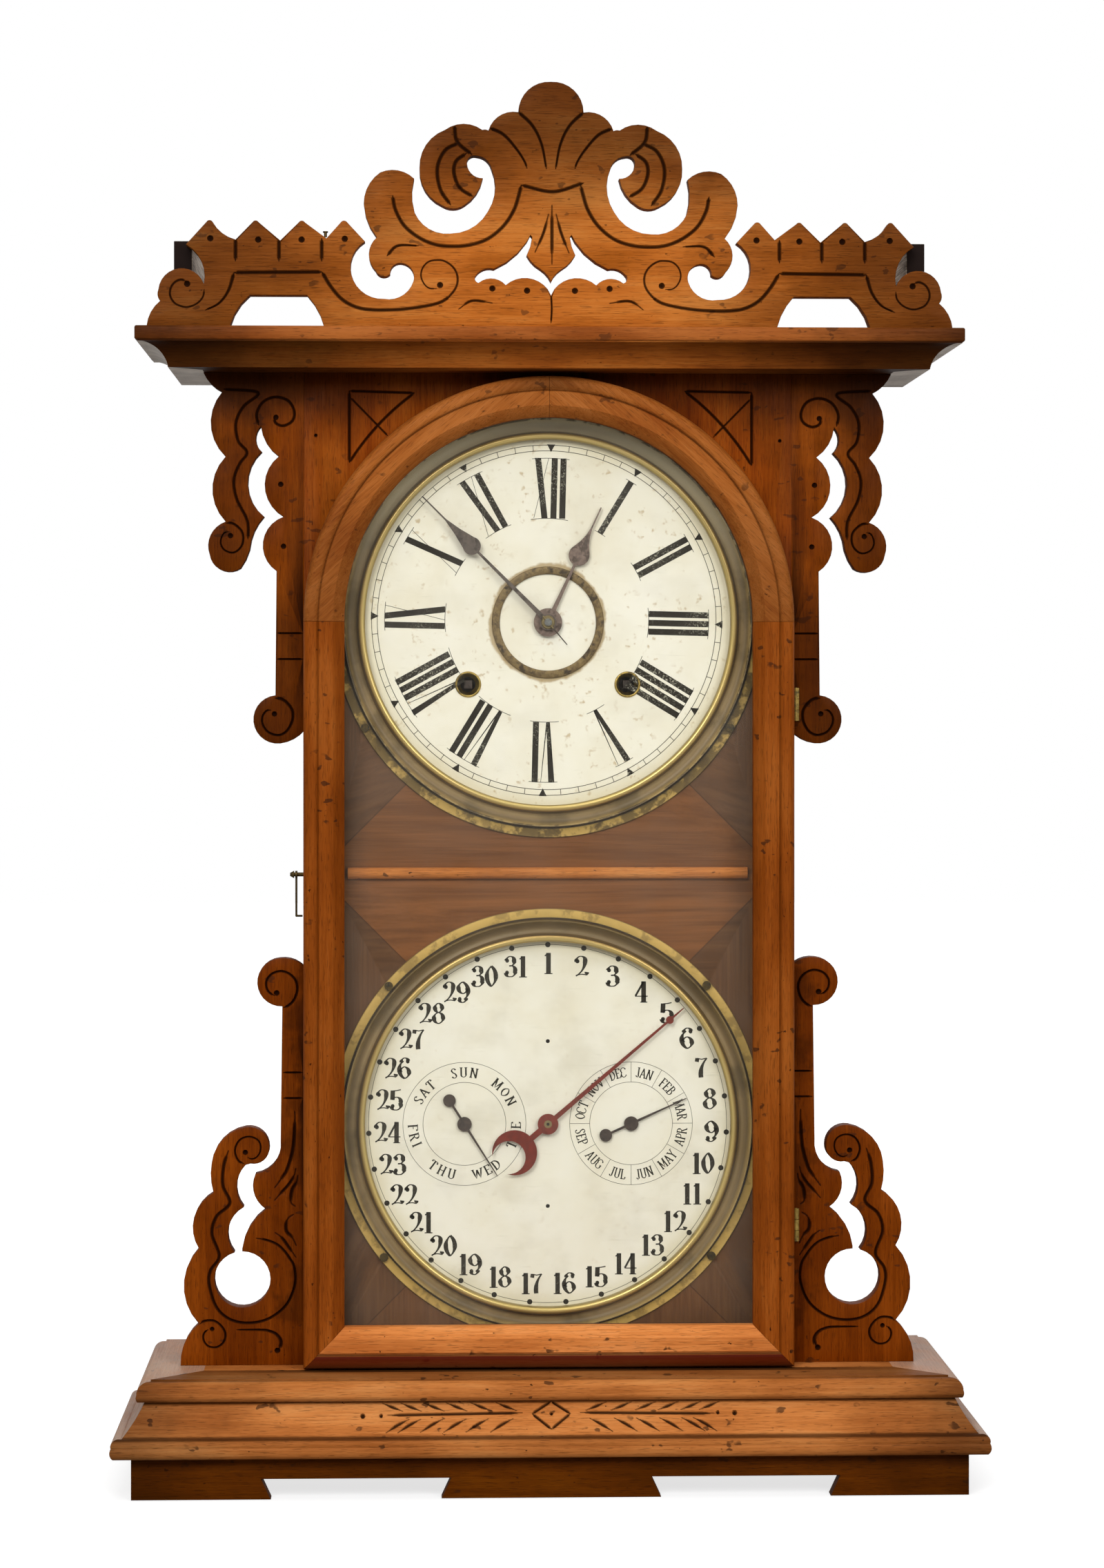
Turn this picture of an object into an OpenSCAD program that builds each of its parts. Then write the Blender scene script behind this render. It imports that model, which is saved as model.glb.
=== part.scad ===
// Calendar clock: a free-standing walnut case with a time dial above and a calendar dial below.
// Millimetres. The origin is the middle of the footprint at the bottom. +Z is up, the dials face -Y.

/* [Base] */
// Width over the base moulding
base_w = 464; // [440:1:500]
// Depth of the base, front moulding to back
base_d = 150; // [146:1:170]
// Height of the plinth boards
plinth_h = 23; // [18:1:40]
// Thickness of the plinth boards
plinth_t = 10; // [8:0.5:14]
// Setback of the plinth from the moulding above it
plinth_setback = 10.5; // [6:0.5:14]
// Height of the dovetail gaps in the front plinth
gap_h = 10.8; // [6:0.2:14]
// Width of each dovetail gap at the floor
gap_w = 89; // [70:1:100]
// How far each end of a dovetail gap widens towards its top
gap_splay = 5.5; // [2:0.5:9]
// Distance of each dovetail gap from the middle
gap_x = 103; // [90:1:110]
// Height of the rounded lower edge of the base moulding
ovolo_h = 10; // [8:0.5:14]
// Height of the sloping carved face of the base moulding
slope_h = 18; // [14:0.5:26]
// How far the sloping face leans back
slope_in = 11.7; // [8:0.1:14]
// Thickness of the base board
base_board_t = 11; // [9:0.5:16]

/* [Case] */
// Width of the case box
case_w = 264; // [262:1:290]
// Height of the front frame below its window
frame_foot = 11.2; // [8:0.2:20]
// Height left between the two bezels
bezels_apart = 38.4; // [24:0.2:60]
// Depth of the case box
case_d = 87.5; // [86:0.5:95]
// Thickness of the case sides
side_t = 12; // [9:0.5:12]
// Thickness of the backboard
back_t = 8; // [6:0.5:10]
// Thickness of the front frame
front_t = 8; // [6:0.5:9]
// Thickness of the dial boards
board_t = 6; // [5:0.5:8]
// Height of the half-round divider
divider_h = 6.2; // [5:0.2:8]

/* [Cornice and crest] */
// Width of the cornice board
cornice_w = 440; // [425:1:470]
// Depth of the cornice board
cornice_d = 136; // [130:1:146]
// Height of the cove
cove_h = 13.3; // [10:0.1:18]
// How far the cove runs back from the board's edge
cove_in = 15; // [10:0.5:20]
// Thickness of the cornice board
cornice_t = 7.4; // [6:0.2:12]
// Width of the crest
crest_w = 427.6; // [410:1:440]
// Height of the crest
crest_h = 130.1; // [120:1:145]
// Thickness of the crest and the brackets
sawn_t = 10; // [8:0.5:12]
// Height of the boards behind the crest
gallery_h = 46; // [36:1:55]

/* [Door] */
// Thickness of the door
door_t = 22; // [20:0.5:26]
// Width of the door's frame members
frame_w = 21.9; // [20:0.1:24]
// Thickness of the glass
glass_t = 2; // [1.5:0.1:3]
// Length of each hinge
hinge_l = 18; // [14:1:24]
// Radius of the hinge knuckles
knuckle_r = 2; // [1.8:0.05:2.2]

/* [Dials] */
// Width of the front frame beside the bezels
frame_leg = 14; // [12:0.5:18]
// Gap between a bezel's flange and the front frame
window_gap = 1; // [0.5:0.1:2]
// Width of a bezel, from its opening to the edge of its flange
bezel_w = 17.8; // [16:0.1:20]
// Height of a bezel
bezel_h = 7; // [5.5:0.1:7.4]
// How far a dial plate runs in under its bezel
dial_under = 5.3; // [4:0.1:6]
// Distance of each winding hole from the middle
wind_x = 43.3; // [41:0.1:46]
// Drop of the winding holes below the time dial's centre
wind_drop = 33.7; // [32:0.1:37]
// Distance of the day and month dials from the calendar's centre
sub_x = 45.3; // [44:0.1:47]
// Gap from the minute hand's tip to the bezel
minute_gap = 2.7; // [2:0.1:9]
// Length of the hour hand
hour_l = 68.8; // [60:0.5:75]
// Gap from the date hand's tip to the bezel
date_gap = 2.2; // [1.5:0.1:9]

/* [Movement] */
// Half width of the movement plates
plate_x = 74; // [74:1:80]
// Thickness of the movement plates
plate_t = 1.5; // [1.2:0.1:2]
// Space between the movement plates
plate_gap = 33.5; // [32:0.5:36]
// Tooth size of the great wheels: pitch radius over half the tooth count
great_mod = 0.9; // [0.86:0.01:0.92]
// Distance from the pendulum's pivot to the middle of its bob
pendulum_l = 225; // [200:1:235]
// Radius of the pendulum bob
bob_r = 28; // [22:1:34]
// Radius of the gong's outer turn
gong_r = 42; // [34:1:50]

/* [Hidden] */
$fn = 96;
eps = 0.01;
walnut = "#8a4a1c";
dark_walnut = "#6b3614";
brass = "#b08d3c";
steel = "#8d8f93";
blued = "#4a3a36";

// Widths across the case, from the outside in: the bezels fill the window of the front frame
door_gap = 0.1;
door_r = case_w / 2 - door_gap;
door_in = door_r - frame_w;
window_r = case_w / 2 - frame_leg;
bezel_r = window_r - window_gap;
bezel_in = bezel_r - bezel_w;
dial_r = bezel_in + dial_under;
minute_l = bezel_in - minute_gap;
date_l = bezel_in - date_gap;

// Heights of the base and the case, from the floor up: the case is as high as its two dials need
door_head = 3;
moulding_z = plinth_h;
slope_z = plinth_h + ovolo_h;
board_z = slope_z + slope_h;
base_z = board_z + base_board_t;
cal_z = base_z + frame_foot + window_r;
time_z = cal_z + 2 * bezel_r + bezels_apart;
case_top = time_z + door_r + door_head;
cornice_z = case_top + cove_h;
crest_z = cornice_z + cornice_t;

// Depths, front to back
back_y = base_d / 2;
base_y = -base_d / 2;
case_y = back_y - case_d;
door_y = case_y - door_t;
board_y = case_y + front_t;
board_back_y = board_y + board_t;
back_in_y = back_y - back_t;
cornice_y = back_y - cornice_d;
crest_setback = 4;
crest_y = cornice_y + crest_setback;

// Base moulding: how deep its three mitred lengths are, and the setbacks of its edges
moulding_deep = 34;
slope_setback = 5.7;
board_setback = 12.8;
step_w = 6.5;
step_h = 1;
lip_h = 4;

// Cornice moulding
cove_deep = 34;
cove_edge = 1.2;
gallery_x = 190;
gallery_t = 10;
gallery_end = 5;

// Door
door_foot = 1;
door_z = base_z + door_foot;
rabbet_w = 5;
rabbet_d = 9.5;
lip_edge_d = 15.5;
face_d = 20.6;
bead_w = 7.7;
bevel_w = 6;
glass_gap = 0.4;
strip_t = 4;
strip_gap = 0.2;

// Dials
divider_z = (time_z + cal_z) / 2;
divider_proud = 4.6;
divider_gap = 9.5;
divider_x = window_r - divider_gap;
dial_t = 0.6;
dial_y = board_y - dial_t;
flange_t = 1.2;
flange_w = 5;
grommet_r = 5.9;
grommet_wall = 0.6;
grommet_lip = 1.2;
grommet_proud = 0.8;
grommet_l = 2.4;
ring_in = 26.2;
ring_out = 30.4;
ring_t = 1.2;
pin_hole_z = 44.8;
pin_hole_r = 1.1;
screw_r = 2.3;
screw_h = 1.4;
screw_shank_r = 1;
screw_shank_l = 5;
screw_pcr = bezel_r - flange_w / 2;

// Hands: gap from the dial to the back of each hand, and their thickness
hand_t = 0.8;
hour_back = dial_y - 1.9;
minute_back = hour_back - hand_t - 1.4;
sub_hand_back = dial_y - 1.0;
date_back = sub_hand_back - hand_t - 0.7;
arbor_r = 2;
run = 0.06;
pipe_wall = 1.1;
hour_hub_r = 7.7;
minute_hub_r = 4.4;
hour_at = 24.9;
minute_at = -45;
date_at = 49.6;
day_at = 147.6;
month_at = 65.5;
sub_hand_l = 33;
sub_hub_r = 3.9;
sub_tail_r = 3.4;
sub_tail_l = 15.2;

// Movement
front_gap = 10.4;
mv_y = board_back_y + front_gap;
mv_in = mv_y + plate_t;
mv_far = mv_in + plate_gap;
mv_back = mv_far + plate_t;
plate_below = 70;
plate_above = 84;
pillar_in = 8;
pillar_r = 4;
pivot_r = 1.2;
shaft_r = 2;
fine_pivot_r = 0.9;
fine_shaft_r = 1.4;
centre_hole_r = 8;
dial_hole_r = 5;
sub_arbor_r = 1.6;
sub_hole_r = 2.6;
wheel_t = 1.4;
winding_r = 4;
square_w = 4.4;
square_end_y = board_y + 3;
spring_in = 8;
spring_out = 27;
spring_w = 14;
clear = 0.4;

// Teeth
great_n = 66;
second_p = 8;
second_n = 60;
centre_p = 10;
centre_n = 84;
third_p = 8;
third_n = 72;
escape_p = 8;
escape_n = 40;
fine_mod = 0.6;
second_mod = 0.8;
cannon_n = 12;
motion_n = 36;
motion_p = 10;
hour_n = 40;
motion_mod = 0.55;
mesh_gap = 0.1;

// Where the arbors stand, as [x, z]
centre_at = [0, time_z];
time_wind_at = [wind_x, time_z - wind_drop];
strike_wind_at = [-wind_x, time_z - wind_drop];
second_at = meet(time_wind_at, mesh(great_n, second_p, great_mod),
                 centre_at, mesh(second_n, centre_p, second_mod), -1);
third_at = centre_at + mesh(centre_n, third_p, fine_mod) * [cos(64), sin(64)];
escape_d = mesh(third_n, escape_p, fine_mod);
escape_at = [0, third_at[1] + sqrt(escape_d * escape_d - third_at[0] * third_at[0])];
motion_at = centre_at + mesh(motion_n, cannon_n, motion_mod) * [1, 0];
escape_r = 15;
verge_rise = 24;
verge_at = [0, escape_at[1] + verge_rise];
gong_drop = 34;
gong_at = [0, cal_z - gong_drop];
hammer_head = [18, 5];
hammer_gap = 1.5;
hammer_drop = 54;
hammer_at = [-gong_r - hammer_gap - hammer_head[0] / 2, time_z - hammer_drop];

// Where each wheel runs, as the y of its front face
second_y = mv_in + 8;
centre_y = mv_in + 16;
third_y = mv_in + 24;
escape_y = mv_in + 3;
great_y = mv_in + 27.5;
strike_great_y = mv_in + 3;
cannon_y = mv_y - 3.2;
hour_wheel_y = mv_y - 7;

// Distance between the arbors of two meshed wheels
function mesh(n1, n2, mod) = (n1 + n2) * mod / 2 + mesh_gap;

// One of the two points at distance r1 from p1 and r2 from p2
function meet(p1, r1, p2, r2, side) =
    let (d = norm(p2 - p1), a = (r1 * r1 - r2 * r2 + d * d) / (2 * d),
         h = sqrt(r1 * r1 - a * a), u = (p2 - p1) / d)
    p1 + a * u + side * h * [-u[1], u[0]];

// Angle, from +X towards +Z, in which q lies from p
function aim(p, q) = atan2(q[1] - p[1], q[0] - p[0]);

// Centre of the circle through three points
function centre_of(a, m, b) =
    let (d = 2 * (a[0] * (m[1] - b[1]) + m[0] * (b[1] - a[1]) + b[0] * (a[1] - m[1])))
    [(a * a * (m[1] - b[1]) + m * m * (b[1] - a[1]) + b * b * (a[1] - m[1])) / d,
     (a * a * (b[0] - m[0]) + m * m * (a[0] - b[0]) + b * b * (m[0] - a[0])) / d];

// Points of the arc from a through m to b, without a itself
arc_step = 13;
function arc3(a, m, b) =
    let (c = centre_of(a, m, b), r = norm(a - c), t0 = aim(c, a),
         sm = (aim(c, m) - t0 + 720) % 360, s1 = (aim(c, b) - t0 + 720) % 360,
         sweep = sm < s1 ? s1 : s1 - 360, n = max(2, ceil(abs(sweep) / arc_step)))
    [for (i = [1 : n]) c + r * [cos(t0 + sweep * i / n), sin(t0 + sweep * i / n)]];

// A path: each move is a straight run to [x, z], or an arc through [x, z] to [x2, z2]
function end_of(move) = len(move) == 2 ? move : [move[2], move[3]];
function path(start, moves) = [
    start,
    for (i = [0 : len(moves) - 1])
        each len(moves[i]) == 2 ? [moves[i]]
            : arc3(i == 0 ? start : end_of(moves[i - 1]), [moves[i][0], moves[i][1]],
                   end_of(moves[i]))
];

// Draws a shape in the X-Z plane and gives it depth from y0 back to y1
module deep(y0, y1) {
    translate([0, y1, 0]) rotate([90, 0, 0]) linear_extrude(height = y1 - y0) children();
}
module deep_at(at, y0, y1) {
    translate([at[0], 0, at[1]]) deep(y0, y1) children();
}
module rod(at, y0, y1, r) {
    deep_at(at, y0, y1) circle(r);
}
// Turns a profile of [radius, height towards the viewer] about a dial's centre
module turned(at, y) {
    translate([at[0], y, at[1]]) rotate([90, 0, 0]) rotate_extrude() children();
}
// Runs a profile drawn in the Y-Z plane along X
module along_x(x0, x1) {
    translate([x0, 0, 0]) rotate([90, 0, 90]) linear_extrude(height = x1 - x0) children();
}
module board(x0, x1, y0, y1, z0, z1) {
    translate([x0, y0, z0]) cube([x1 - x0, y1 - y0, z1 - z0]);
}
module mirrored() {
    children();
    mirror([1, 0, 0]) children();
}

// A frame of three mitred lengths, front and both sides, from a profile of [setback, z]
module mitred_frame(w, front, depth, deep_in) {
    along = w / 2;
    intersection() {
        along_x(-along, along) translate([front, 0]) children();
        linear_extrude(height = crest_z)
            polygon([[-along, front], [along, front], [along - deep_in, front + deep_in],
                     [deep_in - along, front + deep_in]]);
    }
    mirrored() difference() {
        deep(front, front + depth) translate([-along, 0]) children();
        linear_extrude(height = crest_z)
            polygon([[-along, front], [-along + deep_in + 1, front + deep_in + 1],
                     [-along + deep_in + 1, front - 1], [-along, front - 1]]);
    }
}

// Base

module plinth() color(dark_walnut) {
    half = base_w / 2 - plinth_setback;
    front = base_y + plinth_setback;
    difference() {
        board(-half, half, front, front + plinth_t, 0, plinth_h);
        mirrored() deep(front - 1, front + plinth_t + 1) translate([gap_x, 0])
            polygon([[-gap_w / 2, -1], [gap_w / 2, -1], [gap_w / 2 + gap_splay, gap_h],
                     [-gap_w / 2 - gap_splay, gap_h]]);
    }
    mirrored() board(half - plinth_t, half, front + plinth_t, back_y, 0, plinth_h);
}

module base_moulding() color(walnut)
    mitred_frame(base_w, base_y, base_d, moulding_deep)
        polygon(path([1.5, moulding_z],
            [[0, moulding_z + 3, 0.6, moulding_z + 6], [1.4, slope_z - 0.5, slope_setback, slope_z],
             [slope_setback + slope_in / 2 + 0.6, slope_z + slope_h / 2 - 0.4,
              slope_setback + slope_in, board_z],
             [moulding_deep, board_z], [moulding_deep, moulding_z]]));

module base_board() color(walnut) {
    r = step_w - 0.5;
    lip_z = board_z + lip_h;
    mitred_frame(base_w - 2 * board_setback, base_y + board_setback, base_d - board_setback,
                 moulding_deep)
        polygon(path([0.8, board_z],
            [[0, board_z + lip_h / 2, 0.3, lip_z],
             [0.3 + r * 0.3, lip_z + r * 0.75, step_w, base_z - step_h],
             [step_w + 1, base_z - step_h], [step_w + 1, base_z], [moulding_deep, base_z],
             [moulding_deep, board_z]]));
    half = base_w / 2 - board_setback - moulding_deep;
    board(-half, half, base_y + board_setback + moulding_deep, back_y, board_z, base_z);
}

// Case

module case_sides() color(walnut)
    mirrored() board(case_w / 2 - side_t, case_w / 2, board_y, back_y, base_z, case_top);

module backboard() color(dark_walnut)
    board(side_t - case_w / 2, case_w / 2 - side_t, back_in_y, back_y, base_z, case_top);

module arched(r, z0, zc) {
    circle(r);
    translate([-r, z0 - zc]) square([2 * r, zc - z0]);
}

module front_frame() color(walnut)
    difference() {
        board(-case_w / 2, case_w / 2, case_y, board_y, base_z, case_top);
        deep_at(centre_at, case_y - 1, board_y + 1)
            arched(window_r, cal_z - window_r, time_z);
    }

// The screws' angles about each dial's centre, and their holes in the boards
time_screws = [30, 150, 210, 330];
cal_screws = [41, 139, 219, 321];
function around(at, r, a) = at + r * [cos(a), sin(a)];
module screw_holes(at, angles) {
    for (a = angles)
        rod(around(at, screw_pcr, a), board_y - 1, board_y + screw_shank_l, screw_shank_r);
}

module dial_board(z0, z1) {
    board(side_t - case_w / 2, case_w / 2 - side_t, board_y, board_back_y, z0, z1);
}

module dial_board_upper() color(dark_walnut)
    difference() {
        dial_board(divider_z, case_top);
        rod(centre_at, board_y - 1, board_back_y + 1, centre_hole_r);
        for (at = [time_wind_at, strike_wind_at])
            rod(at, board_y - 1, board_back_y + 1, grommet_r + grommet_wall + clear);
        screw_holes(centre_at, time_screws);
    }

module dial_board_lower() color(dark_walnut)
    difference() {
        dial_board(base_z, divider_z);
        for (x = [-sub_x, 0, sub_x])
            rod([x, cal_z], board_y - 1, board_back_y + 1, sub_hole_r + 1);
        screw_holes([0, cal_z], cal_screws);
    }

module divider_moulding() color(walnut)
    along_x(-divider_x, divider_x)
        polygon(path([board_y, divider_z - divider_h / 2],
            [[board_y, divider_z + divider_h / 2],
             [board_y - divider_proud / 4, divider_z + divider_h / 2],
             [board_y - divider_proud, divider_z, board_y - divider_proud / 4,
              divider_z - divider_h / 2]]));

// Cornice, crest and brackets

module cornice_moulding() color(walnut) {
    mitred_frame(cornice_w, cornice_y, cornice_d, cove_deep)
        polygon(path([cove_edge, cornice_z],
            [[cove_edge, cornice_z - 1.6],
             [cove_edge + 0.5 * cove_in, cornice_z - 0.62 * cove_h, cove_in, case_top],
             [cove_deep, case_top], [cove_deep, cornice_z]]));
    half = cornice_w / 2 - cove_deep;
    board(-half, half, cornice_y + cove_deep, back_y, case_top, cornice_z);
}

module cornice_board() color(walnut)
    board(-cornice_w / 2, cornice_w / 2, cornice_y, back_y, cornice_z, crest_z);

// Left half of the crest, from its foot in the middle round to the top, as drawn at 427.6 by 130.1
crest_start = [0, 0];
crest_half = [
    [-120.2, 0], [-124, 9.5, -129.1, 16.4], [-159.3, 16.4], [-165.6, 9.5, -169.8, 0],
    [-213.8, 0], [-211.6, 7.3, -206.7, 13.2], [-208.0, 16, -207.6, 19.2],
    [-197.6, 30.3, -183.6, 22.3], [-184.6, 33.4, -193.1, 43.1], [-182.2, 55.1],
    [-180.6, 56.0, -179.0, 55.1], [-168.3, 46.2, -166.9, 45.8], [-157.9, 55.0],
    [-156.3, 55.9, -154.7, 55.0], [-143.3, 45.4], [-133.5, 55.0],
    [-131.9, 55.9, -130.3, 55.0], [-118.9, 46.6], [-111.3, 55.1],
    [-109.6, 56.0, -107.9, 55.1], [-98.5, 45.0],
    [-104.2, 39.0, -106.1, 30.8], [-100.8, 19.1, -88.5, 14.7], [-78.4, 16.7, -73.0, 23.8],
    [-73.5, 29.8, -78.6, 33.5], [-82.9, 32.7, -85.2, 27.8], [-88.4, 26.4, -92.8, 29.4],
    [-96.5, 38.1, -92.3, 47.2], [-97.3, 55.8, -99.2, 64.9], [-96.9, 74.4, -90.5, 81.6],
    [-81.9, 82.9, -72.5, 78.4], [-73.6, 68.8, -72.2, 60.3], [-65.0, 52.0, -53.2, 49.4],
    [-42.0, 52.4, -33.5, 61.1], [-29.6, 74.3, -31.7, 84.2], [-35.0, 89.0, -39.4, 90.6],
    [-43.4, 89.6, -44.5, 86.3], [-42.2, 81.2, -36.1, 78.8], [-39.6, 70.4, -46.0, 64.4],
    [-51.0, 62.6, -57.5, 64.1], [-67.1, 72.7, -69.7, 84.0], [-66.3, 96.3, -56.2, 104.3],
    [-45.6, 107.6, -36.4, 104.4], [-34.2, 104.5, -33.2, 104.1],
    [-26.6, 112.4, -17.3, 113.9], [-12.6, 125.3, 0, 130.1]
];
// Left half of the pierced opening round the middle drop of the crest
crest_hole_start = [0, 24.0];
crest_hole_half = [
    [-2.2, 27.6, -5.6, 30.6], [-9.6, 33.6, -12.9, 38.1], [-11.2, 42.0, -10.0, 47.6],
    [-10.9, 48.8], [-12.7, 45.3], [-18.9, 38.0, -30.3, 30.7], [-37.0, 29.8, -39.9, 27.0],
    [-40.2, 24.8, -38.4, 23.3], [-31.5, 25.7, -24.0, 22.2], [-13.0, 26.0, -1.8, 20.2],
    [0, 16.8]
];
drawn_w = 427.6;
drawn_h = 130.1;
function fit_crest(points) = [for (p = points) [p[0] * crest_w / drawn_w, p[1] * crest_h / drawn_h]];

module crest() color(walnut)
    translate([0, 0, crest_z]) deep(crest_y, crest_y + sawn_t)
        difference() {
            mirrored() polygon(fit_crest(path(crest_start, crest_half)));
            mirrored() polygon(fit_crest(path(crest_hole_start, crest_hole_half)));
        }

module crest_gallery_sides() color(dark_walnut)
    mirrored() board(gallery_x, gallery_x + gallery_t, crest_y + sawn_t, back_y - gallery_end,
                     crest_z, crest_z + gallery_h);

// Upper bracket: distance out from the case, height from the cornice down
upper_start = [0, 0];
upper_outline = [
    [54.4, 0], [50.2, -6.4, 44.2, -10.6], [50.4, -27.0, 42.4, -45.6],
    [49.5, -62.6, 42.4, -80.7], [50.6, -88.2, 50.9, -98.6], [42.6, -107.6, 34.3, -106],
    [30.2, -98.5, 28.4, -90.5], [25.6, -83.6, 21.5, -78.0], [30.4, -60.5, 22.8, -42.9],
    [26.0, -36.6, 23.3, -29.2], [20.4, -38.2, 13.7, -45.4], [21.3, -61.0, 11.1, -78.0],
    [22.2, -91.6, 14.9, -107.4], [15.5, -174.5], [27.4, -187.5, 12.9, -200.6],
    [5.9, -198.4, 0, -193.6]
];
// Lower bracket: distance out from the case, height from the base board up
lower_start = [0, 0];
lower_outline = [
    [66.6, 0], [63.9, 13.5, 56.8, 22.6], [64.9, 43.5, 56.8, 63.2], [59.8, 78.0, 48.9, 93.3],
    [50.3, 101, 49.9, 109.2], [42.8, 123.3, 31.5, 128.7], [22.6, 126.2, 18.7, 117.4],
    [21.4, 111.0, 28.9, 108.9], [31.5, 108.2], [36.4, 96.6, 32.5, 85.4],
    [40.9, 73.5, 37.5, 60.9], [29.0, 31.9, 33.4, 61.5], [33.4, 63.1],
    [28.6, 76.2, 20.7, 84.3], [27.2, 93.4, 26.3, 103.3], [16.4, 108.8, 12.7, 121],
    [11.8, 193.8], [25.3, 207.3, 13.3, 219.9], [6.2, 219.3, 0, 215.4]
];

// Turns a drawing of the right side over for the left side
module handed(side) {
    if (side > 0) children();
    else mirror([1, 0, 0]) children();
}
module bracket(side, z, outline_start, outline)
    handed(side) translate([case_w / 2, 0, z]) deep(case_y, case_y + sawn_t)
        polygon(path(outline_start, outline));

module upper_bracket_left() color(walnut) bracket(-1, case_top, upper_start, upper_outline);
module upper_bracket_right() color(walnut) bracket(1, case_top, upper_start, upper_outline);
module lower_bracket_left() color(walnut) bracket(-1, base_z, lower_start, lower_outline);
module lower_bracket_right() color(walnut) bracket(1, base_z, lower_start, lower_outline);

// Dials and their brass

module dial(at, holes) {
    difference() {
        rod(at, dial_y, board_y, dial_r);
        for (h = holes) rod(h[0], dial_y - 1, board_y + 1, h[1]);
    }
}

module time_dial() color("ivory")
    dial(centre_at, [[centre_at, dial_hole_r],
                     [time_wind_at, grommet_r + grommet_wall],
                     [strike_wind_at, grommet_r + grommet_wall]]);

module calendar_dial() color("ivory")
    dial([0, cal_z], [[[0, cal_z], sub_hole_r], [[-sub_x, cal_z], sub_hole_r],
                      [[sub_x, cal_z], sub_hole_r], [[0, cal_z + pin_hole_z], pin_hole_r],
                      [[0, cal_z - pin_hole_z], pin_hole_r]]);

module bezel(at, angles) {
    seat_r = dial_r + 0.3;
    bead = bezel_in + 4;
    difference() {
        turned(at, board_y) polygon(path([bezel_in, dial_t],
            [[bezel_in, bezel_h - 1.6], [bezel_in + 1.8, bezel_h, bead - 0.2, bezel_h - 1.8],
             [bead + 0.4, bezel_h - 2.6], [bezel_r - flange_w - 1.2, bezel_h - 3.4],
             [bezel_r - flange_w, flange_t + 0.6], [bezel_r, flange_t], [bezel_r, 0],
             [seat_r, 0], [seat_r, dial_t]]));
        for (a = angles)
            rod(around(at, screw_pcr, a), dial_y - 4, board_y + 1, screw_shank_r + run);
    }
}

module time_bezel() color(brass) bezel(centre_at, time_screws);
module calendar_bezel() color(brass) bezel([0, cal_z], cal_screws);

module centre_ring() color(brass)
    turned(centre_at, dial_y) polygon([[ring_in, 0], [ring_in, ring_t - 0.3], [ring_in + 0.5, ring_t],
        [ring_out - 0.5, ring_t], [ring_out, ring_t - 0.3], [ring_out, 0]]);

module winding_grommets() color(brass)
    for (at = [time_wind_at, strike_wind_at])
        turned(at, dial_y) polygon([[grommet_r, -grommet_l], [grommet_r, grommet_proud],
            [grommet_r + grommet_lip, grommet_proud], [grommet_r + grommet_lip, 0],
            [grommet_r + grommet_wall, 0], [grommet_r + grommet_wall, -grommet_l]]);

module screw(at) {
    head_y = board_y - flange_t - 0.6;
    rod(at, head_y - screw_h, head_y, screw_r);
    rod(at, head_y - eps, board_y + screw_shank_l, screw_shank_r);
}
module bezel_screws() color(brass) {
    for (a = time_screws) screw(around(centre_at, screw_pcr, a));
    for (a = cal_screws) screw(around([0, cal_z], screw_pcr, a));
}

// Hook latch on the left side of the case

latch_drop = 137;
latch_z = time_z - latch_drop;
latch_y = board_y + 5;
latch_pin_r = 1.1;
latch_x = -case_w / 2;
latch_out = 8;
hook_r = 0.6;
hook_l = 22.5;
hook_x = latch_x - 4.6;
hook_ring_r = 2;
hook_tip = 3.4;

module rod_x(x0, x1, y, z, r) {
    translate([x0, y, z]) rotate([0, 90, 0]) cylinder(r = r, h = x1 - x0);
}

module latch_screw() color(brass) {
    rod_x(latch_x - latch_out + 2.2, latch_x, latch_y, latch_z, latch_pin_r);
    translate([latch_x - latch_out, latch_y, latch_z]) rotate([0, 90, 0])
        cylinder(r1 = 0.9, r2 = 2.1, h = 2.2);
}

module latch_hook() color(blued) {
    ring_half = 0.6;
    difference() {
        rod_x(hook_x - ring_half, hook_x + ring_half, latch_y, latch_z, hook_ring_r);
        rod_x(hook_x - 2, hook_x + 2, latch_y, latch_z, latch_pin_r + run);
    }
    translate([hook_x, latch_y, latch_z - hook_l])
        cylinder(r = hook_r, h = hook_l - hook_ring_r + 0.3, $fn = 24);
    translate([hook_x, latch_y, latch_z - hook_l]) sphere(r = hook_r, $fn = 24);
    rod_x(hook_x, hook_x + hook_tip, latch_y, latch_z - hook_l, hook_r);
}

// Door

// Section of a frame member: distance in from the outer edge, height above the door's back
door_section = path([0, 0],
    [[0, door_t - 4.5], [1.4, door_t - 1, 4.5, door_t], [6.8, door_t - 0.5, bead_w, face_d],
     [frame_w - bevel_w, face_d], [frame_w, lip_edge_d], [frame_w, rabbet_d],
     [frame_w - rabbet_w, rabbet_d], [frame_w - rabbet_w, 0]]);
hinge_rise = 74;
hinge_drop = 44.5;
hinge_zs = [door_z + hinge_rise, time_z - hinge_drop];
hinge_x = door_r + knuckle_r + 0.2;
hinge_y = case_y - 0.2 - knuckle_r;
leaf_t = 1;
leaf_w = 13;
pin_r = 0.9;

module stile(side) {
    handed(side) difference() {
        translate([0, case_y, door_z]) linear_extrude(height = time_z - door_z)
            polygon([for (p = door_section) [door_r - p[0], -p[1]]]);
        deep(door_y - 1, case_y + 1)
            polygon([[door_r + 1, door_z - 1], [door_r + 1, door_z - 1 + eps],
                     [door_r - frame_w - 1, door_z + frame_w + 1],
                     [door_r - frame_w - 1, door_z - 1]]);
    }
}

module door_stile_left() color(walnut)
    difference() {
        stile(-1);
        rod_x(-door_r - 1, -door_r + 4, latch_y - hook_l, latch_z, hook_r + 0.3);
    }

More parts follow.
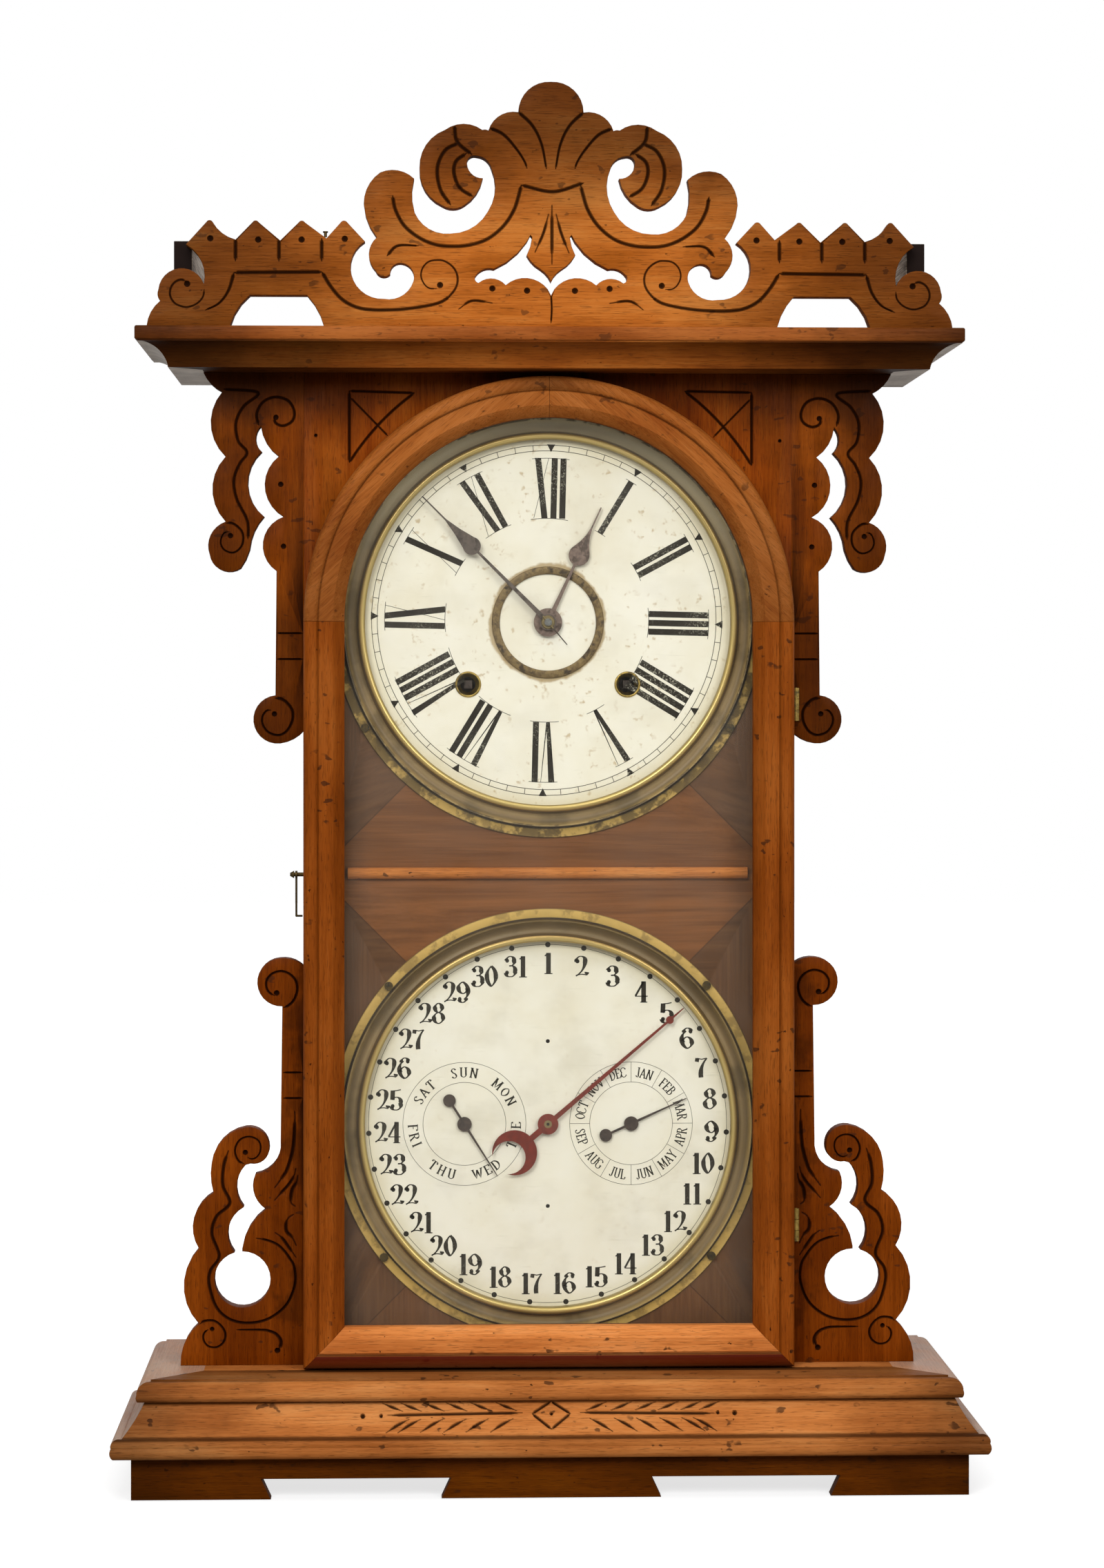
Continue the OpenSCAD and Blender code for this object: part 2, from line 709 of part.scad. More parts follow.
module door_stile_right() color(walnut)
    difference() {
        stile(1);
        for (z = hinge_zs)
            board(hinge_x - leaf_w - 2.2, door_r + 1, case_y - 2 * leaf_t - 0.4, case_y + 1,
                  z - hinge_l / 2 - 0.3, z + hinge_l / 2 + 0.3);
    }

module door_bottom_rail() color(walnut)
    difference() {
        along_x(-door_r, door_r)
            polygon([for (p = door_section) [case_y - p[1], door_z + p[0]]]);
        mirrored() deep(door_y - 1, case_y + 1)
            polygon([[door_r, door_z], [door_r - frame_w - 1, door_z + frame_w + 1],
                     [door_r + 1, door_z + frame_w + 1], [door_r + 1, door_z]]);
    }

module arch_quarter() {
    translate([0, case_y, time_z]) rotate([90, 0, 0])
        rotate_extrude(angle = 90) polygon([for (p = door_section) [door_r - p[0], p[1]]]);
}
module door_arch_left() color(walnut) mirror([1, 0, 0]) arch_quarter();
module door_arch_right() color(walnut) arch_quarter();

module pane(r) {
    arched(r, door_z + door_r - r, time_z);
}
glass_r = door_in + rabbet_w - glass_gap;
glass_back = case_y - rabbet_d + glass_t;

module door_glass() color("lightcyan", 0.3)
    deep_at(centre_at, case_y - rabbet_d, glass_back) pane(glass_r);

module glazing_strips() color(dark_walnut)
    deep_at(centre_at, glass_back, glass_back + strip_t)
        difference() {
            pane(door_in + rabbet_w - strip_gap);
            pane(door_in + 0.6);
        }

// A leaf with its knuckles: 0 and 2 belong to the case leaf, 1 to the door leaf
knuckle_l = hinge_l / 3;
knuckle_gap = 0.15;
module leaf_and_knuckles(z, front, knuckles) {
    edge = hinge_x - knuckle_r - 0.4;
    board(hinge_x - leaf_w, edge, front, front + leaf_t, z - hinge_l / 2, z + hinge_l / 2);
    for (k = knuckles) {
        z0 = z - hinge_l / 2 + k * knuckle_l + knuckle_gap;
        z1 = z0 + knuckle_l - 2 * knuckle_gap;
        board(edge - eps, hinge_x, front, front + leaf_t, z0, z1);
        translate([hinge_x, hinge_y, z0]) cylinder(r = knuckle_r, h = z1 - z0);
    }
}

module hinge_case_leaves() color(brass)
    for (z = hinge_zs) {
        leaf_and_knuckles(z, case_y - leaf_t, [0, 2]);
        translate([hinge_x, hinge_y, z - hinge_l / 2]) cylinder(r = pin_r, h = hinge_l);
    }

module hinge_door_leaves() color(brass)
    difference() {
        for (z = hinge_zs) leaf_and_knuckles(z, case_y - 2 * leaf_t - 0.2, [1]);
        for (z = hinge_zs)
            translate([hinge_x, hinge_y, z - hinge_l]) cylinder(r = pin_r + run, h = 2 * hinge_l);
    }

// Hands, drawn pointing up from their centre

module pointed(r0, w0, r1, w1) {
    polygon([[-w0 / 2, r0], [w0 / 2, r0], [w1 / 2, r1], [-w1 / 2, r1]]);
}
// A teardrop leaf: a round heel that draws in to a fine point
module leaf(at_r, r, tip) {
    neck = (tip - at_r) * 0.42;
    polygon(path([-0.35, tip],
        [[-0.45, at_r + neck + 4], [-1.4 - r * 0.12, at_r + neck * 0.7, -r * 0.86, at_r + r * 0.5],
         [0, at_r - r, r * 0.86, at_r + r * 0.5],
         [1.4 + r * 0.12, at_r + neck * 0.7, 0.45, at_r + neck + 4], [0.35, tip]]));
}
module leaf_hand(hub_r, bore_r, leaf_r, leaf_at, tip) {
    difference() {
        union() {
            circle(hub_r);
            pointed(0, 2.6, leaf_at, 1.2);
            leaf(leaf_at, leaf_r, tip);
        }
        circle(bore_r);
    }
}

module minute_hand() color(blued)
    deep_at(centre_at, minute_back - hand_t, minute_back) rotate(-minute_at)
        leaf_hand(minute_hub_r, arbor_r + run, 4.9, 58.5, minute_l);

pipe_r = arbor_r + run + pipe_wall;
press = 0.02;
module hour_hand() color(blued)
    deep_at(centre_at, hour_back - hand_t, hour_back) rotate(-hour_at)
        leaf_hand(hour_hub_r, pipe_r + press, 5.7, 40.2, hour_l);

collet_t = 1.2;
pin_at = 140;
module taper_pin() {
    translate([0, minute_back - hand_t - collet_t - 0.5, time_z]) rotate([0, pin_at, 0])
        translate([0, 0, -6]) cylinder(r1 = 0.55, r2 = 0.25, h = 22);
}
module hand_collet() color(brass) {
    turned(centre_at, minute_back - hand_t)
        polygon([[arbor_r + run, 0], [3.7, 0], [3.2, collet_t], [arbor_r + run, collet_t]]);
    taper_pin();
}

// Date hand: a long pointer with a crescent tail
module date_hand_shape() {
    bead_at = date_l - 10;
    circle(5.6);
    pointed(0, 2.7, bead_at, 1.1);
    translate([0, bead_at]) circle(2.1);
    pointed(bead_at, 1.3, date_l, 0.5);
    translate([-1.6, -14]) square([3.2, 14]);
    difference() {
        translate([0, -23.8]) circle(12.2);
        translate([0, -27.8]) circle(9);
    }
}

module sub_hand_shape() {
    circle(sub_hub_r);
    pointed(0, 1.4, sub_hand_l, 0.4);
    translate([-0.6, -sub_tail_l]) square([1.2, sub_tail_l]);
    translate([0, -sub_tail_l]) circle(sub_tail_r);
}

cal_mv_gap = 11;
cal_mv_y = board_back_y + cal_mv_gap;
cal_plate_t = 1.5;
cal_wheel_gap = 4;
cal_wheel_y = board_back_y + cal_wheel_gap;
sub_wheel_y = cal_wheel_y + 3;
date_n = 31;
day_n = 7;
month_n = 12;
date_star_r = 33;
date_tooth = 2.6;
sub_star_r = 16;
day_tooth = 5;
month_tooth = 4;

// A star wheel: one pointed tooth for each step
module star(n, r, tooth) {
    polygon([for (i = [0 : 2 * n - 1])
        (i % 2 == 0 ? r : r - tooth) * [sin(180 * i / n), cos(180 * i / n)]]);
}

module calendar_hand(x, back, n, r, tooth, wheel_y) {
    rod([x, cal_z], back, cal_mv_y + cal_plate_t, sub_arbor_r);
    deep_at([x, cal_z], wheel_y, wheel_y + wheel_t) star(n, r, tooth);
}

module date_hand() {
    color("firebrick") deep_at([0, cal_z], date_back - hand_t, date_back)
        rotate(-date_at) date_hand_shape();
    color(brass) calendar_hand(0, date_back, date_n, date_star_r, date_tooth, cal_wheel_y);
}
module day_hand() {
    color(blued) deep_at([-sub_x, cal_z], sub_hand_back - hand_t, sub_hand_back)
        rotate(-day_at) sub_hand_shape();
    color(brass) calendar_hand(-sub_x, sub_hand_back, day_n, sub_star_r, day_tooth, sub_wheel_y);
}
module month_hand() {
    color(blued) deep_at([sub_x, cal_z], sub_hand_back - hand_t, sub_hand_back)
        rotate(-month_at) sub_hand_shape();
    color(brass) calendar_hand(sub_x, sub_hand_back, month_n, sub_star_r, month_tooth, sub_wheel_y);
}

module calendar_plate() color(brass) {
    half_x = sub_x + 24;
    half_z = 34;
    difference() {
        deep_at([0, cal_z], cal_mv_y, cal_mv_y + cal_plate_t)
            square([2 * half_x, 2 * half_z], center = true);
        for (x = [-sub_x, 0, sub_x])
            rod([x, cal_z], cal_mv_y - 1, cal_mv_y + cal_plate_t + 1, sub_arbor_r + run);
    }
    for (x = [-half_x + 4, half_x - 4]) for (z = [-half_z + 4, half_z - 4])
        rod([x, cal_z + z], board_back_y, cal_mv_y, 2.5);
}

// Movement

mount_xs = [-plate_x + pillar_in, plate_x - pillar_in];
mount_zs = [time_z - plate_below + pillar_in, time_z + plate_above - pillar_in];

module movement_plate(y, holes) {
    difference() {
        board(-plate_x, plate_x, y, y + plate_t, time_z - plate_below, time_z + plate_above);
        for (h = holes) rod(h[0], y - 1, y + plate_t + 1, h[1] + run);
    }
}

module movement_plates() color(brass) {
    pivots = [[second_at, pivot_r], [third_at, fine_pivot_r], [escape_at, fine_pivot_r]];
    movement_plate(mv_y, concat(pivots, [[centre_at, pivot_r], [time_wind_at, winding_r],
        [strike_wind_at, winding_r], [verge_at, pivot_r]]));
    movement_plate(mv_far, concat(pivots, [[centre_at, pivot_r], [time_wind_at, pivot_r],
        [strike_wind_at, pivot_r], [verge_at, shaft_r]]));
    rod(motion_at, hour_wheel_y - 1, mv_y, pivot_r);
    rod(hammer_at, mv_back, hammer_y + 2.4, pivot_r);
}

module movement_pillars() color(brass)
    for (x = mount_xs) for (z = mount_zs) {
        rod([x, z], mv_in, mv_far, pillar_r);
        rod([x, z], mv_back, back_in_y, pillar_r + 1);
    }

// A toothed wheel: trapezoid teeth on the pitch circle, one tooth centred on the angle given
module toothed(n, mod, at_angle) {
    p = 360 / n;
    root = n * mod / 2 - 1.2 * mod;
    tip = n * mod / 2 + 0.75 * mod;
    polygon([for (i = [0 : n - 1]) each
        [for (c = [[root, -0.26], [tip, -0.1], [tip, 0.1], [root, 0.26]])
            c[0] * [cos(at_angle + (i + c[1]) * p), sin(at_angle + (i + c[1]) * p)]]]);
}
// Pierces a wheel with round crossings between its hub and its rim
module crossed(n, mod, at_angle, crossings = 5, hub = 5) {
    rim = n * mod / 2 - 3.4 * mod;
    hole = min((rim - hub) / 2, 0.8 * (rim + hub) / 2 * sin(180 / crossings));
    difference() {
        toothed(n, mod, at_angle);
        for (i = [0 : crossings - 1]) rotate(i * 360 / crossings)
            translate([(rim + hub) / 2, 0]) circle(hole);
    }
}
module arbor(at, r, end_r) {
    rod(at, mv_in + 0.2, mv_far - 0.2, r);
    rod(at, mv_y, mv_back, end_r);
}
function half_pitch(n) = 180 / n;

module spring(at, y) {
    difference() {
        rod(at, y, y + spring_w, spring_out);
        rod(at, y - 1, y + spring_w + 1, spring_in);
    }
}
module mainsprings() color(steel) {
    spring(time_wind_at, great_y - spring_w - 1.2);
    spring(strike_wind_at, strike_great_y + wheel_t + 1.2);
}

module time_great_wheel() color(brass)
    deep_at(time_wind_at, great_y, great_y + wheel_t)
        difference() {
            crossed(great_n, great_mod, aim(time_wind_at, second_at), 5, 9);
            circle(winding_r + run);
        }

module strike_great_wheel() color(brass) {
    deep_at(strike_wind_at, strike_great_y, strike_great_y + wheel_t)
        difference() {
            crossed(great_n, great_mod, 0, 5, 9);
            circle(winding_r + run);
        }
    deep_at(strike_wind_at, strike_great_y - 1.6, strike_great_y)
        difference() {
            toothed(39, 0.94, 0);
            circle(13);
        }
}

// Winding arbor with its ratchet, and the square that the key turns
module winding_arbor(at, ratchet_y) {
    rod(at, mv_y - 4, mv_far - 0.2, winding_r);
    rod(at, mv_y - 4, mv_back, pivot_r);
    deep_at(at, square_end_y, mv_y - 4 + eps) square([square_w, square_w], center = true);
    deep_at(at, ratchet_y, ratchet_y + wheel_t) star(16, 7.4, 1.2);
}
module time_winding_arbor() color(steel) winding_arbor(time_wind_at, great_y + wheel_t + clear);
module strike_winding_arbor() color(steel)
    winding_arbor(strike_wind_at, strike_great_y + wheel_t + clear - 0.2);

module second_wheel() color(brass) {
    arbor(second_at, shaft_r, pivot_r);
    deep_at(second_at, second_y, second_y + wheel_t)
        crossed(second_n, second_mod, aim(second_at, centre_at));
    deep_at(second_at, great_y - 2, great_y + wheel_t + 2)
        toothed(second_p, great_mod, aim(second_at, time_wind_at) + half_pitch(second_p));
}

module centre_wheel() color(brass) {
    arbor(centre_at, shaft_r, pivot_r);
    rod(centre_at, minute_back + 1.5, mv_y + eps, pivot_r);
    deep_at(centre_at, centre_y, centre_y + wheel_t)
        crossed(centre_n, fine_mod, aim(centre_at, third_at));
    deep_at(centre_at, second_y - 2, second_y + wheel_t + 2)
        toothed(centre_p, second_mod, aim(centre_at, second_at) + half_pitch(centre_p));
}

module third_wheel() color(brass) {
    arbor(third_at, fine_shaft_r, fine_pivot_r);
    deep_at(third_at, third_y, third_y + wheel_t)
        crossed(third_n, fine_mod, aim(third_at, escape_at));
    deep_at(third_at, centre_y - 2, centre_y + wheel_t + 2)
        toothed(third_p, fine_mod, aim(third_at, centre_at) + half_pitch(third_p));
}

module escape_wheel() color(brass) {
    arbor(escape_at, fine_shaft_r, fine_pivot_r);
    deep_at(escape_at, escape_y, escape_y + wheel_t)
        difference() {
            star(escape_n, escape_r, 2);
            for (i = [0 : 4]) rotate(i * 72) translate([7.4, 0]) circle(3.2);
        }
    deep_at(escape_at, third_y - 2, third_y + wheel_t + 2)
        toothed(escape_p, fine_mod, aim(escape_at, third_at) + half_pitch(escape_p));
}

// Verge over the escape wheel, its arbor out through the back plate, and the crutch behind
module verge() color(steel) {
    tip_z = 10.5 - verge_rise;
    crutch_z = -50;
    deep_at(verge_at, escape_y, escape_y + 2)
        polygon(path([-13.4, tip_z], [[-9.6, -6, 0, 3], [9.6, -6, 13.4, tip_z],
            [12.5, tip_z + 0.3], [8.2, -6.4, 0, -1.4], [-8.2, -6.4, -12.5, tip_z + 0.3]]));
    rod(verge_at, mv_in + 0.2, mv_back + 4, shaft_r);
    rod(verge_at, mv_y, mv_in + 0.2 + eps, pivot_r);
    deep_at(verge_at, mv_back + 2.4, mv_back + 4) {
        translate([-1, crutch_z]) square([2, -crutch_z]);
        translate([-2.1, crutch_z]) square([4.2, 4]);
    }
    mirrored() board(1.3, 2.1, mv_back + 4 - eps, pendulum_y + 2, verge_at[1] + crutch_z,
                     verge_at[1] + crutch_z + 4);
}

pendulum_y = mv_back + 9;
rod_r = 1.1;
bob_t = 9;
module pendulum() color(brass) {
    bottom = verge_at[1] - pendulum_l;
    translate([0, pendulum_y, bottom - bob_r - 9])
        cylinder(r = rod_r, h = verge_at[1] - 6 - (bottom - bob_r - 9));
    board(-2, 2, pendulum_y - 0.15, pendulum_y + 0.15, verge_at[1] - 7, verge_at[1] + 3);
    difference() {
        turned([0, bottom], pendulum_y + bob_t / 2)
            polygon(path([0, 0], [[bob_r - 3, 0], [bob_r, bob_t / 2, bob_r - 3, bob_t], [0, bob_t]]));
        translate([0, pendulum_y, bottom - bob_r - 1])
            cylinder(r = rod_r - eps, h = 2 * bob_r + 2);
    }
    translate([0, pendulum_y, bottom - bob_r - 6]) cylinder(r = 4, h = 3);
}

// The tube over the centre arbor that carries the minute hand
module cannon_pinion() color(steel)
    difference() {
        union() {
            rod(centre_at, minute_back - hand_t - 3, mv_y - 0.2, arbor_r);
            deep_at(centre_at, cannon_y, cannon_y + 2.2)
                toothed(cannon_n, motion_mod, aim(centre_at, motion_at) + half_pitch(cannon_n));
        }
        rod(centre_at, minute_back + 1, mv_y, pivot_r + run);
        taper_pin();
    }

module motion_wheel() color(brass)
    difference() {
        union() {
            deep_at(motion_at, cannon_y + 0.2, cannon_y + 1.6)
                toothed(motion_n, motion_mod, aim(motion_at, centre_at));
            deep_at(motion_at, hour_wheel_y - 0.6, cannon_y + 0.2 + eps)
                toothed(motion_p, motion_p_mod, aim(motion_at, centre_at) + half_pitch(motion_p));
        }
        rod(motion_at, hour_wheel_y - 2, mv_y, pivot_r + run);
    }
// The hour wheel runs at the same distance as the cannon pinion, with its own tooth size
motion_p_mod = (mesh(motion_n, cannon_n, motion_mod) - mesh_gap) * 2 / (hour_n + motion_p);

module hour_wheel() color(brass)
    difference() {
        union() {
            deep_at(centre_at, hour_wheel_y, hour_wheel_y + 1.4)
                toothed(hour_n, motion_p_mod, aim(centre_at, motion_at));
            rod(centre_at, hour_back - hand_t, hour_wheel_y + 1.4, pipe_r);
        }
        rod(centre_at, hour_back - 3, mv_y, arbor_r + run);
    }

// Strike hammer, hanging behind the back plate, and the wire gong that it meets
gong_wire = 2.4;
gong_y = back_in_y - 6;
hammer_y = gong_y;
hammer_head_z = gong_at[1] + gong_r * 0.55;
module hammer() color(steel) {
    difference() {
        rod(hammer_at, hammer_y - 2, hammer_y + 2, 3.4);
        rod(hammer_at, hammer_y - 3, hammer_y + 3, pivot_r + run);
    }
    translate([hammer_at[0], hammer_y, hammer_head_z])
        cylinder(r = 1, h = hammer_at[1] - 3 - hammer_head_z);
    rod_x(hammer_at[0] - hammer_head[0] / 2, hammer_at[0] + hammer_head[0] / 2, hammer_y,
          hammer_head_z, hammer_head[1]);
}

module gong() color(steel) {
    for (r = [gong_r, gong_r - 7, gong_r - 14])
        translate([gong_at[0], gong_y, gong_at[1]]) rotate([90, 0, 0]) rotate_extrude()
            translate([r, 0]) circle(gong_wire / 2);
    deep_at(gong_at, gong_y - 1, gong_y + 1)
        translate([0, -gong_wire / 2]) square([gong_r + gong_wire / 2, gong_wire]);
    rod(gong_at, gong_y - 4, back_in_y, 7);
}

plinth();
base_moulding();
base_board();
case_sides();
backboard();
front_frame();
dial_board_upper();
dial_board_lower();
divider_moulding();
cornice_moulding();
cornice_board();
crest();
crest_gallery_sides();
upper_bracket_left();
upper_bracket_right();
lower_bracket_left();
lower_bracket_right();
time_dial();
calendar_dial();
time_bezel();
calendar_bezel();
centre_ring();
winding_grommets();
bezel_screws();
latch_screw();
latch_hook();
door_stile_left();
door_stile_right();
door_bottom_rail();
door_arch_left();
door_arch_right();
door_glass();
glazing_strips();
hinge_case_leaves();
hinge_door_leaves();
movement_plates();
movement_pillars();
mainsprings();
gong();
calendar_plate();
minute_hand();
hour_hand();
hand_collet();
cannon_pinion();
motion_wheel();
hour_wheel();
time_great_wheel();
time_winding_arbor();
second_wheel();
centre_wheel();
third_wheel();
escape_wheel();
verge();
pendulum();
strike_great_wheel();
strike_winding_arbor();
hammer();
date_hand();
day_hand();
month_hand();
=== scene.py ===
"""The looks of the calendar clock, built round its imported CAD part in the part's own frame.

Lengths in this script are millimetres unless a name says otherwise. +Z is up and the dials face -Y.
"""

import math

import bpy
import numpy as np
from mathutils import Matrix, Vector
from mathutils.geometry import delaunay_2d_cdt


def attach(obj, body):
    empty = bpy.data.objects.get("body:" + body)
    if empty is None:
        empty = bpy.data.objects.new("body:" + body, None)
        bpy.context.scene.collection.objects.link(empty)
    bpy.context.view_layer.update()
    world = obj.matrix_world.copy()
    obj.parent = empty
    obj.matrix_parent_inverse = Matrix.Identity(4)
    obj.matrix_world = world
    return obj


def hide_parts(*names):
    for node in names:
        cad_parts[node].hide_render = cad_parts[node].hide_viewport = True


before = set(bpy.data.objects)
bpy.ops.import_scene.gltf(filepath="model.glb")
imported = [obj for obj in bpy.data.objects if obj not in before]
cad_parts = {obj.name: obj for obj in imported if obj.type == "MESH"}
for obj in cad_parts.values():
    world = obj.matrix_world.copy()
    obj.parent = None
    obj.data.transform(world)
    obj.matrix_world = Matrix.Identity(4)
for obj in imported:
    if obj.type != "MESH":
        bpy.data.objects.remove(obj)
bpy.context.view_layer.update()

MM = 0.001

# The part's own sizes
BASE_W, BASE_Y, BACK_Y = 464.0, -75.0, 75.0
PLINTH_H, PLINTH_T, PLINTH_IN = 23.0, 10.0, 10.5
SLOPE_Z, BOARD_Z, BASE_Z = 33.0, 51.0, 62.0
CASE_W, CASE_Y, CASE_TOP, SIDE_T, BACK_T = 264.0, -12.5, 598.5, 12.0, 8.0
BOARD_Y, BOARD_BACK = -4.5, 1.5
CORNICE_W, CORNICE_Y, CORNICE_Z, CREST_Z = 440.0, -61.0, 611.8, 619.2
CREST_FRONT, CREST_BACK, SAWN_T, GALLERY_H = -57.0, -47.0, 10.0, 46.0
DOOR_R, DOOR_Z, DOOR_T = 131.9, 63.0, 22.0
TIME_Z, CAL_Z, DIVIDER_Z = 463.6, 191.2, 327.4
DIAL_Y, SUB_X, WIND_X, WIND_Z = -5.1, 45.3, 43.3, 429.9
HINGE_ZS = (137.0, 419.1)
MOULDING_W = 34.0

# Own sizes of the looks: the ink's height, the veneer's mitre, the play in joints, the least sharp edge
INK_Y = DIAL_Y - 0.05
MITRE = 11.0
MITRE_GAP, DOOR_GAP = 0.12, 0.08
SHARP_ANGLE = math.radians(32)

# GRIME_AND_SHADE is soot and painted shade; BURNT_AND_SHADE darkens cuts, pores and dents, and painted shade
# in creases, on walls and on bevels; RED_PAINTED_SHADE is the deep red of painted shade on the door rail's
# lower bead
BURNT_AND_SHADE, GRIME_AND_SHADE, IRON_SPOT = "#150602", "#1c0900", "#2c1a10"
DUST, RED_PAINTED_SHADE = "#e6dbcd", "#4a0f02"


# Shader helpers

def srgb(code):
    """Linear colour of an sRGB hex code."""
    channels = [int(code[i:i + 2], 16) / 255 for i in (1, 3, 5)]
    linear = [c / 12.92 if c <= 0.04045 else ((c + 0.055) / 1.055) ** 2.4 for c in channels]
    return (*linear, 1.0)


def add(tree, kind, inputs=None, output=0, stops=(), **settings):
    """Adds a shader node, sets its properties and colour stops, sets or links its sockets, and gives
    back one of its outputs."""
    made = tree.nodes.new("ShaderNode" + kind)
    for key, value in settings.items():
        setattr(made, key, value)
    for key, value in (inputs or {}).items():
        if isinstance(value, bpy.types.NodeSocket):
            tree.links.new(value, made.inputs[key])
        else:
            made.inputs[key].default_value = value
    if stops:
        elements = made.color_ramp.elements
        while len(elements) < len(stops):
            elements.new(0.5)
        for element, (position, code) in zip(elements, stops):
            element.position = position
            element.color = srgb(code)
    return made.outputs[output] if made.outputs else made


def new_material(name):
    """A material and its empty node tree."""
    material = bpy.data.materials.new(name)
    material.use_nodes = True
    material.node_tree.nodes.clear()
    return material, material.node_tree


def object_mm(tree):
    """Object coordinates in millimetres."""
    where = add(tree, "TexCoord", output="Object")
    return add(tree, "VectorMath", {0: where, 3: 1000.0}, operation="SCALE")


def from_centre(tree, centre_z):
    """The offset from a dial's centre at that height, and the distance from its axis."""
    offset = add(tree, "VectorMath", {0: object_mm(tree), 1: (0.0, 0.0, centre_z)}, operation="SUBTRACT")
    flat = add(tree, "VectorMath", {0: offset, 1: (1.0, 0.0, 1.0)}, operation="MULTIPLY")
    return offset, add(tree, "VectorMath", {0: flat}, 1, operation="LENGTH")


def mottle(tree, where, sizes, detail=3.0, rough=0.55, twist=0.0):
    """Uneven tone from 0 to 1 whose patches have one size, or a size along each axis, in millimetres."""
    scales = tuple(1.0 / float(size) for size in np.broadcast_to(sizes, 3))
    scaled = add(tree, "VectorMath", {0: where, 1: scales}, operation="MULTIPLY")
    return add(tree, "TexNoise", {"Vector": scaled, "Scale": 1.0, "Detail": detail, "Roughness": rough,
                                  "Distortion": twist})


def total(tree, start, *terms):
    """The start plus each (value, weight) term's value times its weight."""
    for value, weight in terms:
        start = add(tree, "Math", {0: value, 1: weight, 2: start}, operation="MULTIPLY_ADD")
    return start


def share(tree, *factors):
    """The product of the factors within 0 to 1. A factor is a number, a value, or a band of
    (value, low, high) that eases from 0 to 1, with two more numbers where it eases between those."""
    product = None
    for factor in factors:
        if isinstance(factor, tuple):
            value, low, high, *ends = factor
            start, end = ends or (0.0, 1.0)
            factor = add(tree, "MapRange", {0: value, 1: low, 2: high, 3: start, 4: end},
                         interpolation_type="SMOOTHSTEP")
        if product is None:
            product = factor
        else:
            product = add(tree, "Math", {0: product, 1: factor}, operation="MULTIPLY", use_clamp=True)
    return product


def tint(tree, colour, other, *factors):
    """The colour turned into the other one by the product of the factors."""
    a, b = (srgb(c) if isinstance(c, str) else c for c in (colour, other))
    return add(tree, "Mix", {0: share(tree, *factors), 6: a, 7: b}, 2, data_type="RGBA")


def surface(tree, colour, rough, specular=0.5, ior=1.5, **more):
    """Ends a material in one shader with its colour, its roughness and how strongly it mirrors."""
    shader = add(tree, "BsdfPrincipled", {"Base Color": colour, "Roughness": rough,
                                          "Specular IOR Level": specular, "IOR": ior, **more})
    add(tree, "OutputMaterial", {0: shader})


# Materials

